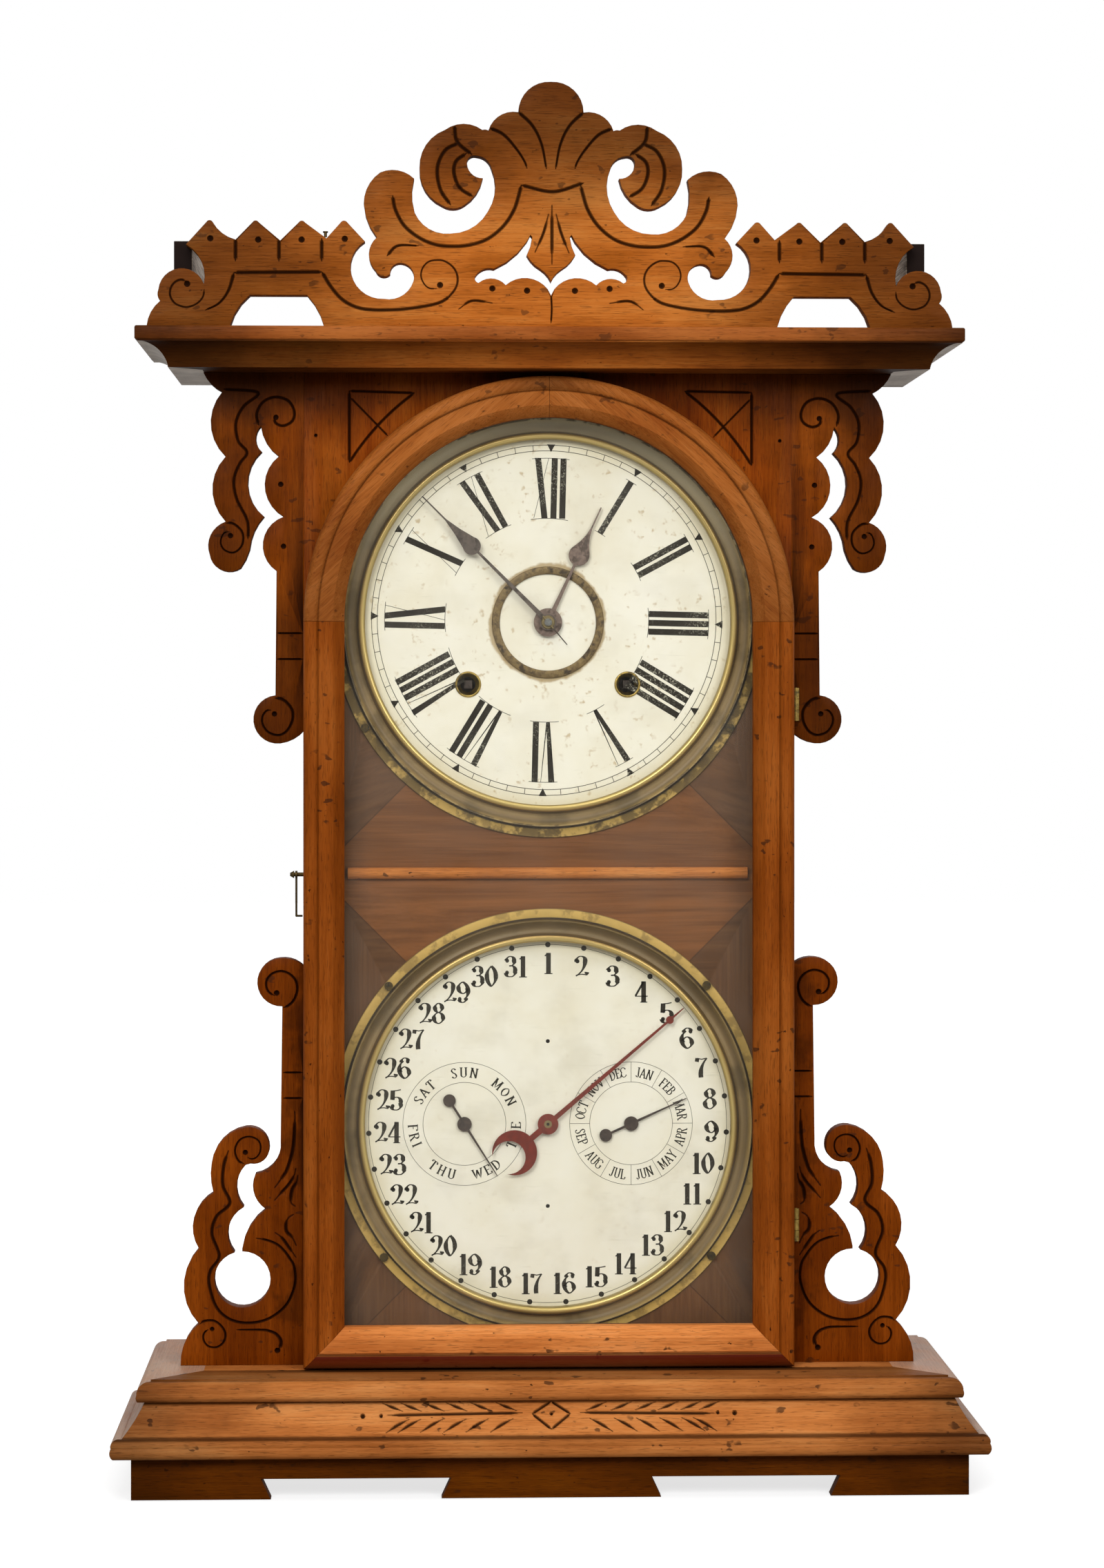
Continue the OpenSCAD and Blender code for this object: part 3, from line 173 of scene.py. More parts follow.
def wood(name, dark, middle, light, figure, speck=0.6, soot_and_shade=None, shades=()):
    """Walnut under old shellac: faint figure, fine lines and short dark pores along the grain, cloudy
    stain, dark dents and groups of iron-dark spots. Soot and painted shade thicken between two
    distances from the middle of the clock, and each shade, mostly painted shade, between two heights,
    up to a share. Pores are drawn a little coarse.
    Reads the vector attribute grain, whose X runs along the grain, and burn, which is dark in cuts and
    holds painted shade in creases, on walls and on bevels, below 0 where pale dust lies and 2 where a
    deep red shade is painted on the door rail's lower bead."""
    material, tree = new_material(name)
    grain = add(tree, "Attribute", output="Vector", attribute_name="grain")
    stored = add(tree, "Attribute", output="Fac", attribute_name="burn_and_shade")
    red = add(tree, "Math", {0: stored, 1: 1.0}, operation="SUBTRACT", use_clamp=True)
    burn_and_shade = add(tree, "Math", {0: stored, 1: 0.0}, operation="MAXIMUM", use_clamp=True)
    burn_and_shade = add(tree, "Math", {0: burn_and_shade, 1: red}, operation="SUBTRACT", use_clamp=True)
    where = object_mm(tree)
    figures = mottle(tree, grain, (figure * 12, figure, figure), 4.0, 0.6, 0.5)
    lines = mottle(tree, grain, (38, 1.0, 1.0), 4.0, 0.75)
    cloud = mottle(tree, grain, (70, 32, 32), 2.0, 0.5)
    tone = total(tree, 0.0, (lines, 0.3), (figures, 0.3), (cloud, 0.4))
    colour = add(tree, "ValToRGB", {0: share(tree, (tone, 0.34, 0.68))},
                 stops=[(0.0, dark), (0.5, middle), (1.0, light)])
    pores = share(tree, (mottle(tree, grain, (7, 0.34, 0.34), 1.0, 0.5), 0.58, 0.68))
    colour = tint(tree, colour, BURNT_AND_SHADE, pores, 0.42)
    dents = mottle(tree, grain, (4.2, 2.6, 2.6), 2.0, 0.5)
    colour = tint(tree, colour, BURNT_AND_SHADE, (dents, 0.73, 0.76), speck)
    blown = mottle(tree, where, 34, 4.0, 0.6)
    spots = mottle(tree, where, (9, 9, 5.5), 2.0, 0.5)
    colour = tint(tree, colour, IRON_SPOT, (spots, 0.655, 0.69), (blown, 0.47, 0.53, 0.0, speck * 0.9))
    fields = [(add(tree, "SeparateXYZ", {0: where}, "Z"), 30.0, *shade) for shade in shades]
    if soot_and_shade:
        sides = add(tree, "VectorMath", {0: where}, operation="ABSOLUTE")
        fields.insert(0, (add(tree, "SeparateXYZ", {0: sides}, "X"), 100.0, *soot_and_shade))
    # Soot and painted shade towards the sides, then painted shade between heights
    for place, spread, low, high, most in fields:
        reach = total(tree, place, (blown, spread))
        colour = tint(tree, colour, GRIME_AND_SHADE, (reach, low + spread / 2, high + spread / 2, 0.0, most))
    colour = tint(tree, colour, DUST, share(tree, stored, -1.0), (blown, 0.3, 0.7, 0.6, 1.0))
    # Deep red painted shade where burn is above 1, on the door rail's lower bead
    colour = tint(tree, colour, RED_PAINTED_SHADE, red)
    # Dark in cuts, and painted shade in creases, on walls and on bevels
    colour = tint(tree, colour, BURNT_AND_SHADE, burn_and_shade, 0.97)
    gloss = total(tree, share(tree, (lines, 0.3, 0.7, 0.5, 0.36)), (burn_and_shade, 0.3))
    relief = total(tree, 1.0, (pores, -1.0))
    normal = add(tree, "Bump", {"Height": relief, "Distance": 0.05 * MM, "Strength": 0.3})
    surface(tree, colour, gloss, 0.03, Normal=normal)
    return material


def veneer(name, centre_z, foot):
    """Dusty veneer of a dial board: level strips above and below, darker upright strips at the sides,
    and a dark joint where they meet at 45 degrees. The level strip below is darkened by a share.
    Behind the dial, where only the holes show it, the board is painted nearly black as the shade inside the
    holes."""
    material, tree = new_material(name)
    grain = add(tree, "Attribute", output="Vector", attribute_name="grain")
    offset, radius = from_centre(tree, centre_z)
    rise = add(tree, "SeparateXYZ", {0: offset}, "Z")
    apart = add(tree, "VectorMath", {0: offset}, operation="ABSOLUTE")
    out_x, out_z = (add(tree, "SeparateXYZ", {0: apart}, axis) for axis in "XZ")
    past = total(tree, out_z, (out_x, -1.0))
    lines = mottle(tree, grain, (46, 1.6, 1.6), 4.0, 0.7, 0.4)
    cloud = mottle(tree, grain, (80, 30, 30), 3.0, 0.55)
    tone = share(tree, (total(tree, cloud, (lines, 1.0)), 0.72, 1.28))
    upright, level = (add(tree, "ValToRGB", {0: tone}, stops=[(0.0, dark), (1.0, light)])
                      for dark, light in (("#52331c", "#674326"), ("#653a18", "#855026")))
    colour = tint(tree, upright, level, (past, MITRE - 0.3, MITRE + 0.3),
                  (rise, -60.0, 0.0, 1.0 - foot, 1.0))
    joint = add(tree, "Math", {0: total(tree, -MITRE, (past, 1.0))}, operation="ABSOLUTE")
    colour = tint(tree, colour, "#24120a", (joint, 0.1, 0.6, 0.6, 0.0))
    # Painted shade: nearly black behind the dial, where the holes show the board
    colour = tint(tree, colour, "#120b07", (radius, 94.0, 96.0, 1.0, 0.0))
    surface(tree, colour, 0.6, 0.2)
    return material


def gallery_wood(name):
    """Near-black stained board whose inner face is bare, grey with dust and streaked."""
    material, tree = new_material(name)
    where = object_mm(tree)
    sides = add(tree, "VectorMath", {0: where}, operation="ABSOLUTE")
    out_x, out_z = (add(tree, "SeparateXYZ", {0: sides}, axis) for axis in "XZ")
    bare = add(tree, "ValToRGB", {0: mottle(tree, where, (40, 40, 1.2), 3.0, 0.7)},
               stops=[(0.35, "#5a4c3e"), (0.6, "#b3a797")])
    inside = share(tree, (out_x, 190.2, 190.6, 1.0, 0.0))
    topside = share(tree, (out_z, CREST_Z + GALLERY_H - 0.3, CREST_Z + GALLERY_H, 0.0, 0.6))
    colour = tint(tree, "#150804", bare, add(tree, "Math", {0: inside, 1: topside}, operation="MAXIMUM"))
    surface(tree, colour, 0.7, 0.1)
    return material


def aged_metal(name, bright, dull, patina, rough, patch=9.0, cover=0.5, metallic=1.0):
    """Metal gone dull in patches: bright and dull tones in fine noise, patina over the given share."""
    material, tree = new_material(name)
    where = object_mm(tree)
    tone = add(tree, "ValToRGB", {0: mottle(tree, where, patch * 0.4, 4.0, 0.6)},
               stops=[(0.35, dull), (0.65, bright)])
    low = 0.62 - 0.24 * cover
    cloud = share(tree, (mottle(tree, where, patch, 5.0, 0.65), low, low + 0.12))
    shine = share(tree, (cloud, 0.0, 1.0, rough, min(rough + 0.25, 0.9)))
    bare = share(tree, (cloud, 0.0, 1.0, metallic, metallic * 0.55))
    surface(tree, tint(tree, tone, patina, cloud), shine, Metallic=bare)
    return material


# Colours across a bezel, from its inner edge to its outer edge: bead, hollow, ridge, a step painted dark as
# shade, flange
BEZEL_IN, BEZEL_OUT = 99.0, 117.0
BEZEL_COLOURS = [
    (0.0, "#88753f"), (0.08, "#cdb06c"), (0.18, "#a7864c"), (0.22, "#553e1e"), (0.27, "#8c7046"),
    (0.36, "#9e845a"), (0.44, "#826842"), (0.52, "#725c3a"), (0.57, "#8e744a"), (0.63, "#b4955c"),
    (0.67, "#2e1e0e"), (0.72, "#2e1e0e"), (0.745, "#bd984c"), (0.965, "#cfa85c"), (1.0, "#6d5230")]


def bezel_metal(name, centre_z, crown, most, worn):
    """Spun brass by distance from the dial's centre: gold bead, dusty olive channel, yellow flange
    that is browned in patches. Towards its top the channel turns by the share most to the crown's
    colour, pale as painted light on the upper bezel. The ridge and the flange turn in patches by the
    share worn to dark brown, a painted shadow between the bezel and the door."""
    material, tree = new_material(name)
    where = object_mm(tree)
    offset, radius = from_centre(tree, centre_z)
    width = BEZEL_OUT - BEZEL_IN
    across = total(tree, -BEZEL_IN / width, (radius, 1.0 / width))
    colour = add(tree, "ValToRGB", {0: across}, stops=BEZEL_COLOURS)
    hollow = share(tree, (radius, 103.0, 104.0), (radius, 111.5, 110.5))
    grey = mottle(tree, where, 30, 4.0, 0.6)
    colour = tint(tree, colour, "#4a3a1c", (grey, 0.48, 0.66, 0.0, 0.55), hollow)
    rise = add(tree, "SeparateXYZ", {0: offset}, "Z")
    # Towards the top: painted light on the upper bezel, darker on the lower one
    colour = tint(tree, colour, crown, (rise, 10.0, 80.0, 0.0, most), hollow)
    cloud = mottle(tree, where, 9, 5.0, 0.65)
    colour = tint(tree, colour, "#6b5229", (cloud, 0.5, 0.62), (radius, 111.5, 112.5, 0.0, 0.5))
    brown = mottle(tree, where, 13, 4.0, 0.65)
    # Dark brown patches on the ridge and the flange: painted shadow between the bezel and the door
    colour = tint(tree, colour, "#2a1a0a", (brown, 0.44, 0.54, 0.2, 1.0), (radius, 109.6, 110.2, 0.0, worn))
    rough = share(tree, (radius, 103.0, 104.0, 0.28, 0.42))
    surface(tree, colour, rough, 0.3, Metallic=share(tree, (radius, 103.0, 104.2, 0.45, 0.1)))
    return material


def paper(name, centre_z, ring_stain, foxed, smoky):
    """Old dial paper: warm white, brown foxing, grey smoke, darker at its edge, stained about the
    centre ring. foxed and smoky are the shares of the foxing and of the smoke."""
    material, tree = new_material(name)
    where = object_mm(tree)
    radius = from_centre(tree, centre_z)[1]
    colour = add(tree, "ValToRGB", {0: mottle(tree, where, 38, 4.0, 0.6)},
                 stops=[(0.3, "#eadfc9"), (0.5, "#f0e7d5"), (0.72, "#f4ecde")])
    fox, groups = mottle(tree, where, 3.6, 2.0, 0.5), mottle(tree, where, 24, 2.0, 0.5)
    colour = tint(tree, colour, "#b08c52", (fox, 0.6, 0.76), (groups, 0.4, 0.62, 0.0, foxed))
    colour = tint(tree, colour, "#c9b98c", (radius, 88.0, 100.0, 0.0, 0.4))
    if ring_stain:
        reach = total(tree, 28.5, (mottle(tree, where, 11, 3.0, 0.6), 5.0))
        colour = tint(tree, colour, "#a5844a", (total(tree, radius, (reach, -1.0)), 0.0, 1.6, 1.0, 0.0),
                      (radius, 29.0, 30.4, 0.0, 0.75))
    smoke = mottle(tree, where, (34, 34, 26), 4.0, 0.6)
    colour = tint(tree, colour, "#a89a80", (smoke, 0.46, 0.72, 0.0, smoky))
    scuff = mottle(tree, where, (14, 14, 1.2), 3.0, 0.6)
    colour = tint(tree, colour, "#bdb295", (scuff, 0.62, 0.8, 0.0, 0.25))
    surface(tree, colour, 0.72, 0.15, 1.45)
    return material


def ink(name, code, worn):
    """Printing ink; worn is the share flecked through to the paper."""
    material, tree = new_material(name)
    where = object_mm(tree)
    flecks, groups = mottle(tree, where, 0.8, 4.0, 0.75), mottle(tree, where, 30, 2.0, 0.5)
    colour = tint(tree, code, "#d9d1ba", (flecks, 0.6 - 0.1 * worn, 0.66), (groups, 0.42, 0.66, 0.0, worn))
    surface(tree, colour, 0.6, 0.1, 1.45)
    return material


def plain(name, code, rough, hub_z=None, hub_r=2.1):
    """One even finish with a faint mottle; brass shows within a hub at that height, dark in its bore,
    and behind the dial."""
    material, tree = new_material(name)
    where = object_mm(tree)
    colour = tint(tree, code, "#1a130d", (mottle(tree, where, 3, 3.0, 0.6), 0.35, 0.7, 0.0, 0.35))
    if hub_z:
        depth = add(tree, "SeparateXYZ", {0: where}, "Y")
        radius = from_centre(tree, hub_z)[1]
        colour = tint(tree, colour, "#8f7638", (depth, -4.6, -4.2))
        colour = tint(tree, colour, "#7b6a45", (radius, hub_r - 0.2, hub_r + 0.2, 1.0, 0.0))
        colour = tint(tree, colour, "#1c140c", (radius, 0.7, 1.0, 1.0, 0.0))
    surface(tree, colour, rough, 0.3)
    return material


def window_glass(name):
    """Clear old glass with a thin film of dust."""
    material, tree = new_material(name)
    haze = share(tree, (mottle(tree, object_mm(tree), 60, 3.0, 0.6), 0.3, 0.75, 0.008, 0.028))
    film = add(tree, "BsdfPrincipled", {"Base Color": srgb("#d9d2c4"), "Roughness": 0.12, "IOR": 1.45})
    clear = add(tree, "BsdfTransparent", {"Color": (0.99, 1.0, 0.99, 1.0)})
    add(tree, "OutputMaterial", {0: add(tree, "MixShader", {0: haze, 1: clear, 2: film})})
    return material


# Mesh helpers

def arc(a, m, b, step):
    """Points of the circle through a, m and b, after a and up to b, about one each step degrees."""
    (ax, ay), (mx, my), (bx, by) = a, m, b
    d = 2 * (ax * (my - by) + mx * (by - ay) + bx * (ay - my))
    cx = ((ax * ax + ay * ay) * (my - by) + (mx * mx + my * my) * (by - ay)
          + (bx * bx + by * by) * (ay - my)) / d
    cy = ((ax * ax + ay * ay) * (bx - mx) + (mx * mx + my * my) * (ax - bx)
          + (bx * bx + by * by) * (mx - ax)) / d
    start = math.atan2(ay - cy, ax - cx)
    to_middle = (math.atan2(my - cy, mx - cx) - start) % math.tau
    to_end = (math.atan2(by - cy, bx - cx) - start) % math.tau
    turn = to_end if to_middle < to_end else to_end - math.tau
    count = max(2, math.ceil(abs(math.degrees(turn)) / step))
    radius = math.hypot(ax - cx, ay - cy)
    return [(cx + radius * math.cos(start + turn * i / count),
             cy + radius * math.sin(start + turn * i / count)) for i in range(1, count + 1)]


def path(start, moves, step=10):
    """Points from start: each move is a straight run to (x, y) or an arc by (x, y) to (x2, y2)."""
    points = [tuple(start)]
    for move in moves:
        if len(move) == 2:
            points.append(tuple(move))
        else:
            points += arc(points[-1], move[:2], move[2:], step)
    return points


def spline(points, step):
    """A smooth curve through given points (Catmull-Rom), cut into even steps."""
    p = np.array(points, float)
    p = np.vstack([2 * p[0] - p[1], p, 2 * p[-1] - p[-2]])
    t = np.linspace(0, 1, 14, endpoint=False)[:, None]
    runs = [0.5 * (2 * b + (c - a) * t + (2 * a - 5 * b + 4 * c - d) * t ** 2
                   + (3 * b - a - 3 * c + d) * t ** 3)
            for a, b, c, d in zip(p, p[1:], p[2:], p[3:])]
    curve = np.vstack([*runs, p[-2:-1]])
    along = np.concatenate([[0], np.cumsum(np.linalg.norm(np.diff(curve, axis=0), axis=1))])
    count = max(2, round(along[-1] / step) + 1)
    at = np.linspace(0, along[-1], count)
    return np.column_stack([np.interp(at, along, curve[:, k]) for k in (0, 1)])


def outward(points, blocks):
    """Turns the faces so that the volume that they enclose comes out positive."""
    volume = 0.0
    for block in blocks:
        for i in range(1, block.shape[1] - 1):
            a, b, c = points[block[:, 0]], points[block[:, i]], points[block[:, i + 1]]
            volume += np.einsum("ij,ij->", a, np.cross(b, c))
    if volume < 0:
        blocks = [block[:, ::-1] for block in blocks]
    return points, blocks


def loft(rings, loop=False):
    """A surface through rings of points, shaped (stations, points, 3). Point j of ring i joins point j
    of ring i + 1. A loop joins the last ring to the first; otherwise flat faces close both ends."""
    rings = np.asarray(rings, float)
    stations, around = rings.shape[:2]
    i, j = np.meshgrid(np.arange(stations if loop else stations - 1), np.arange(around), indexing="ij")
    i2, j2 = (i + 1) % stations, (j + 1) % around
    side = np.stack([i * around + j, i * around + j2, i2 * around + j2, i2 * around + j], -1)
    blocks = [side.reshape(-1, 4)]
    if not loop:
        blocks.append(np.arange(around)[None, ::-1])
        blocks.append((stations - 1) * around + np.arange(around)[None])
    return outward(rings.reshape(-1, 3), blocks)


def lathe(profile, centre_z, y, centre_x=0.0, segments=192):
    """A profile of (radius, height towards the viewer) turned once about an axis along Y."""
    profile = np.array(profile, float)
    t = np.linspace(0, math.tau, segments, endpoint=False)[:, None]
    x = centre_x + profile[:, 0] * np.cos(t)
    z = centre_z + profile[:, 0] * np.sin(t)
    return loft(np.stack([x, y - profile[:, 1] + 0 * t, z], -1), loop=True)


ORDER = {"x": (0, 1, 2), "y": (1, 0, 2), "z": (2, 1, 0)}


def plank(x0, x1, y0, y1, z0, z1, rounding=0.8, along="x"):
    """A board with rounded edges: a rounded rectangle carried along its length, drawn in at both
    ends along a quarter circle."""
    order = ORDER[along]
    low = np.array((x0, y0, z0), float)[list(order)]
    high = np.array((x1, y1, z1), float)[list(order)]
    quarter = np.radians(np.linspace(0, 90, 4))
    middle = (low + high)[1:] / 2
    half = (high - low)[1:] / 2
    rings = []
    ends = [(low[0] + rounding * (1 - math.sin(a)), rounding * (1 - math.cos(a))) for a in quarter[::-1]]
    ends += [(high[0] - rounding * (1 - math.sin(a)), rounding * (1 - math.cos(a))) for a in quarter]
    for at, inset in ends:
        r = max(rounding - inset, 0.02)
        ring = []
        for k, (sy, sz) in enumerate(((1, 1), (-1, 1), (-1, -1), (1, -1))):
            for a in quarter:
                turn = a + k * math.pi / 2
                ring.append((at, middle[0] + sy * (half[0] - inset - r) + r * math.cos(turn),
                             middle[1] + sz * (half[1] - inset - r) + r * math.sin(turn)))
        rings.append(ring)
    rings = np.array(rings)
    return outward(*loft(rings[:, :, np.argsort(order)]))


def grain_of(points, along="x", offset=(0, 0, 0), angle=None):
    """Where each point lies in its board: X runs along the grain. An angle turns the grain in the
    X-Z plane."""
    if angle is None:
        turned = points[:, list(ORDER[along])]
    else:
        c, s = math.cos(math.radians(angle)), math.sin(math.radians(angle))
        turned = np.column_stack([points[:, 0] * c + points[:, 2] * s, points[:, 1],
                                  points[:, 2] * c - points[:, 0] * s])
    return turned + np.array(offset, float)


def join(pieces):
    """Several (points, blocks, grain, burn) pieces as one."""
    points, blocks, grain, burn_and_shade, start = [], [], [], [], 0
    for piece_points, piece_blocks, piece_grain, piece_burn in pieces:
        points.append(piece_points)
        blocks += [block + start for block in piece_blocks]
        grain.append(piece_grain)
        burn_and_shade.append(piece_burn)
        start += len(piece_points)
    return np.vstack(points), blocks, np.vstack(grain), np.concatenate(burn_and_shade)


def piece(surface, along="x", offset=(0, 0, 0), angle=None, burn_and_shade=0.0):
    """A surface with its grain and one darkness."""
    points, blocks = surface
    return points, blocks, grain_of(points, along, offset, angle), np.full(len(points), float(burn_and_shade))


def build(name, joined, material, body="case", replaces=True):
    """Makes the object, gives it its grain and burn attributes, and ties it to the frame, in the place
    of the CAD node of its name unless it is a piece of the scene alone."""
    points, blocks, grain, burn_and_shade = joined
    faces = [face for block in blocks for face in block.tolist()]
    mesh = bpy.data.meshes.new(name)
    mesh.from_pydata((points * MM).tolist(), [], faces)
    mesh.attributes.new("grain", "FLOAT_VECTOR", "POINT").data.foreach_set("vector", grain.ravel())
    mesh.attributes.new("burn_and_shade", "FLOAT", "POINT").data.foreach_set("value", burn_and_shade)
    mesh.materials.append(material)
    mesh.shade_smooth()
    mesh.set_sharp_from_angle(angle=SHARP_ANGLE)
    made = bpy.data.objects.new(name, mesh)
    bpy.context.scene.collection.objects.link(made)
    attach(made, body)
    if replaces:
        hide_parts(name)


# Sawn boards with carved lines

CUT_W, CUT_DEEP, CUT_TAPER = 2.3, 1.2, 1.5


def cad_loops(name, y):
    """The outlines of a CAD node's flat face at that depth, as (X, Z) loops with wood on their left."""
    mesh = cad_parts[name].data
    points = np.empty(len(mesh.vertices) * 3)
    mesh.vertices.foreach_get("co", points)
    points = np.round(points.reshape(-1, 3) / MM, 3)
    points, merged = np.unique(points, axis=0, return_inverse=True)
    mesh.calc_loop_triangles()
    triangles = np.empty(len(mesh.loop_triangles) * 3, np.int32)
    mesh.loop_triangles.foreach_get("vertices", triangles)
    triangles = merged.ravel()[triangles].reshape(-1, 3)
    flat = triangles[(np.abs(points[triangles][:, :, 1] - y) < 0.02).all(axis=1)]
    edges = {(int(a), int(b)) for t in flat for a, b in zip(t, np.roll(t, -1))}
    follow = {a: b for a, b in edges if (b, a) not in edges}
    loops = []
    while follow:
        start, at = follow.popitem()
        loop = [start]
        while at != start:
            loop.append(at)
            at = follow.pop(at)
        loops.append(points[loop][:, [0, 2]])
    return sorted(loops, key=len, reverse=True)


def inset(loop, distance):
    """The loop moved into the wood: each corner goes along the mitre of its two edges."""
    ahead = np.roll(loop, -1, axis=0) - loop
    ahead /= np.linalg.norm(ahead, axis=1)[:, None]
    behind = np.roll(ahead, 1, axis=0)
    n1 = np.column_stack([-behind[:, 1], behind[:, 0]])
    n2 = np.column_stack([-ahead[:, 1], ahead[:, 0]])
    share = np.maximum(1 + np.einsum("ij,ij->i", n1, n2), 0.35)
    return loop + distance * (n1 + n2) / share[:, None]


def carve(points, cuts, dots):
    """How deep each (X, Z) point lies and how dark it is: a cut is a rounded furrow whose depth falls
    off with the square of the distance from its curve, goes from its first width to its last and
    tapers at its ends; a dot is a drilled hole with a flat floor."""
    depth, dark = np.zeros(len(points)), np.zeros(len(points))
    for curve, widths, deep, taper in cuts:
        reach = max(widths)
        near = ((points > curve.min(axis=0) - reach) & (points < curve.max(axis=0) + reach)).all(axis=1)
        p = points[near][:, None]
        a, run = curve[:-1][None], np.diff(curve, axis=0)[None]
        length = np.linalg.norm(run, axis=2)
        t = np.clip(np.einsum("ijk,ijk->ij", p - a, run + 0 * p) / length ** 2, 0, 1)
        away = np.linalg.norm(p - a - t[..., None] * run, axis=2)
        best = away.argmin(axis=1)
        rows = np.arange(len(best))
        at = np.concatenate([[0], np.cumsum(length[0])])
        along = at[best] + t[rows, best] * length[0][best]
        ends = np.clip(np.minimum(along, at[-1] - along) / taper, 0.3, 1.0)
        half = np.interp(along, (0, at[-1]), widths) / 2 * ends
        fall = np.clip(1 - (away[rows, best] / half) ** 2, 0, 1)
        depth[near] = np.maximum(depth[near], deep * ends * fall)
        dark[near] = np.maximum(dark[near], np.sqrt(fall))
    for x, z, radius in dots:
        away = np.hypot(points[:, 0] - x, points[:, 1] - z)
        fall = np.clip(1 - (away / radius) ** 6, 0, 1)
        depth = np.maximum(depth, 1.8 * fall)
        dark = np.maximum(dark, fall ** 0.5)
    return depth, dark


def plate(loops, y_front, y_back, cuts=(), dots=(), rounding=0.5, wall_dark=0.25):
    """A sawn board. Its face is a net of triangles over the outline with extra rows of points along
    each cut, pushed in by carve(); its edge is a quarter circle and a straight wall, which with the
    back is darkened by wall_dark as painted shade."""
    verts, edges, faces = [], [], []
    for loop in loops:
        start = len(verts)
        ring = list(range(start, start + len(loop)))
        verts += [tuple(p) for p in inset(loop, rounding)]
        faces.append(ring if not faces else ring[::-1])
    borders = len(verts)
    fine = [(spline(points, 0.9), *more) for points, *more in cuts]
    for curve, widths, _, _ in fine:
        width = np.linspace(*widths, len(curve))[:, None]
        ahead = np.gradient(curve, axis=0)
        ahead /= np.linalg.norm(ahead, axis=1)[:, None]
        side = np.column_stack([-ahead[:, 1], ahead[:, 0]])
        for share in (-0.5, -0.3, 0.0, 0.3, 0.5):
            start = len(verts)
            verts += [tuple(p) for p in curve + side * width * share]
            if share == 0.0:
                edges += [(k, k + 1) for k in range(start, len(verts) - 1)]
        for (x, z), wide in ((curve[0], widths[0]), (curve[-1], widths[1])):
            for a in np.linspace(0, math.tau, 10, endpoint=False):
                verts.append((x + 0.2 * wide * math.cos(a), z + 0.2 * wide * math.sin(a)))
    for x, z, radius in dots:
        for share in (0.3, 0.75, 0.93, 1.02):
            for a in np.linspace(0, math.tau, 20, endpoint=False):
                verts.append((x + radius * share * math.cos(a), z + radius * share * math.sin(a)))
    flat = delaunay_2d_cdt([Vector(v) for v in verts], edges, faces, 0, 1e-5)
    front = np.array([(v.x, v.y) for v in flat[0]])
    inside = [tri for tri, owners in zip(flat[2], flat[5]) if list(owners) == [0]]
    home = {old: new for new, olds in enumerate(flat[3]) for old in olds if old < borders}
    depth, dark = carve(front, fine, dots)
    points = [np.column_stack([front[:, 0], y_front + depth, front[:, 1]])]
    burn_and_shade = [dark]
    blocks = [np.array(inside)]
    count, start = len(front), 0
    for loop in loops:
        ring = np.array([home[start + k] for k in range(len(loop))])
        start += len(loop)
        half = rounding * (1 - math.cos(math.pi / 4))
        for ring_points, y in ((inset(loop, half), y_front + half), (loop, y_front + rounding),
                               (loop, y_back)):
            points.append(np.column_stack([ring_points[:, 0], np.full(len(loop), y), ring_points[:, 1]]))
            # Painted shade: the wall, like the back, takes wall_dark
            burn_and_shade.append(np.full(len(loop), 0.0 if y < y_front + rounding else wall_dark))
            here = np.arange(count, count + len(loop))
            blocks.append(np.column_stack([np.roll(ring, -1), ring, here, np.roll(here, -1)]))
            ring = here
            count += len(loop)
    back_verts = [Vector(p) for loop in loops for p in loop]
    back_flat = delaunay_2d_cdt(back_verts, [], faces, 0, 1e-5)
    back = np.array([(v.x, v.y) for v in back_flat[0]])
    points.append(np.column_stack([back[:, 0], np.full(len(back), y_back), back[:, 1]]))
    burn_and_shade.append(np.full(len(back), wall_dark))
    closing = [t[::-1] for t, owners in zip(back_flat[2], back_flat[5]) if list(owners) == [0]]
    blocks.append(count + np.array(closing))
    return np.vstack(points), blocks, np.concatenate(burn_and_shade)


def sawn(name, y_front, y_back, along, offset, material, **more):
    """A sawn board as an object."""
    points, blocks, burn_and_shade = plate(cad_loops(name, y_front), y_front, y_back, **more)
    build(name, (points, blocks, grain_of(points, along, offset), burn_and_shade), material)


def cut(*points, width=CUT_W, last=None, deep=CUT_DEEP, taper=CUT_TAPER):
    """One carved line through given (X, Z) points, from its width to its last width."""
    return points, (width, last or width), deep, taper


def flipped(cuts, sign=-1):
    """The cuts on the other side of the clock."""
    return [(tuple((sign * x, z) for x, z in points), *more) for points, *more in cuts]


def mirrored(cuts):
    """The cuts of the left side and their mirror images."""
    return cuts + flipped(cuts)


# The materials of the clock, each named for what it is

# Orange shellac, darker towards the ends of the crest from soot and painted shade, with painted shade up its
# middle towards its top
CREST_WOOD = wood("walnut of the crest", "#8e480e", "#ae6020", "#c47a36", 12,
                  soot_and_shade=(30, 195, 0.68), shades=[(655, 725, 0.74)])
# Redder and duller, nearly black at the ends
CORNICE_WOOD = wood("walnut of the cornice board", "#7a3c12", "#955222", "#a6602a", 12,
                    soot_and_shade=(110, 225, 0.8))
# A hollow blackened from its middle outwards
COVE_WOOD = wood("walnut of the cornice moulding", "#6f350e", "#8c4a16", "#a06026", 12,
                 soot_and_shade=(20, 190, 0.9))
# Deep red brown, with the cornice's shadow painted black under it
CASE_WOOD = wood("walnut of the case", "#782f02", "#984608", "#b05c16", 10,
                 soot_and_shade=(60, 205, 0.8), shades=[(542, 596, 0.68)])
# Darker still, with the cornice's shadow painted black at the head, and black at the foot
UPPER_WOOD = wood("walnut of the upper brackets", "#6c2e02", "#884006", "#a05010", 10,
                  soot_and_shade=(120, 185, 0.6), shades=[(500, 455, 0.5), (556, 594, 0.75)])
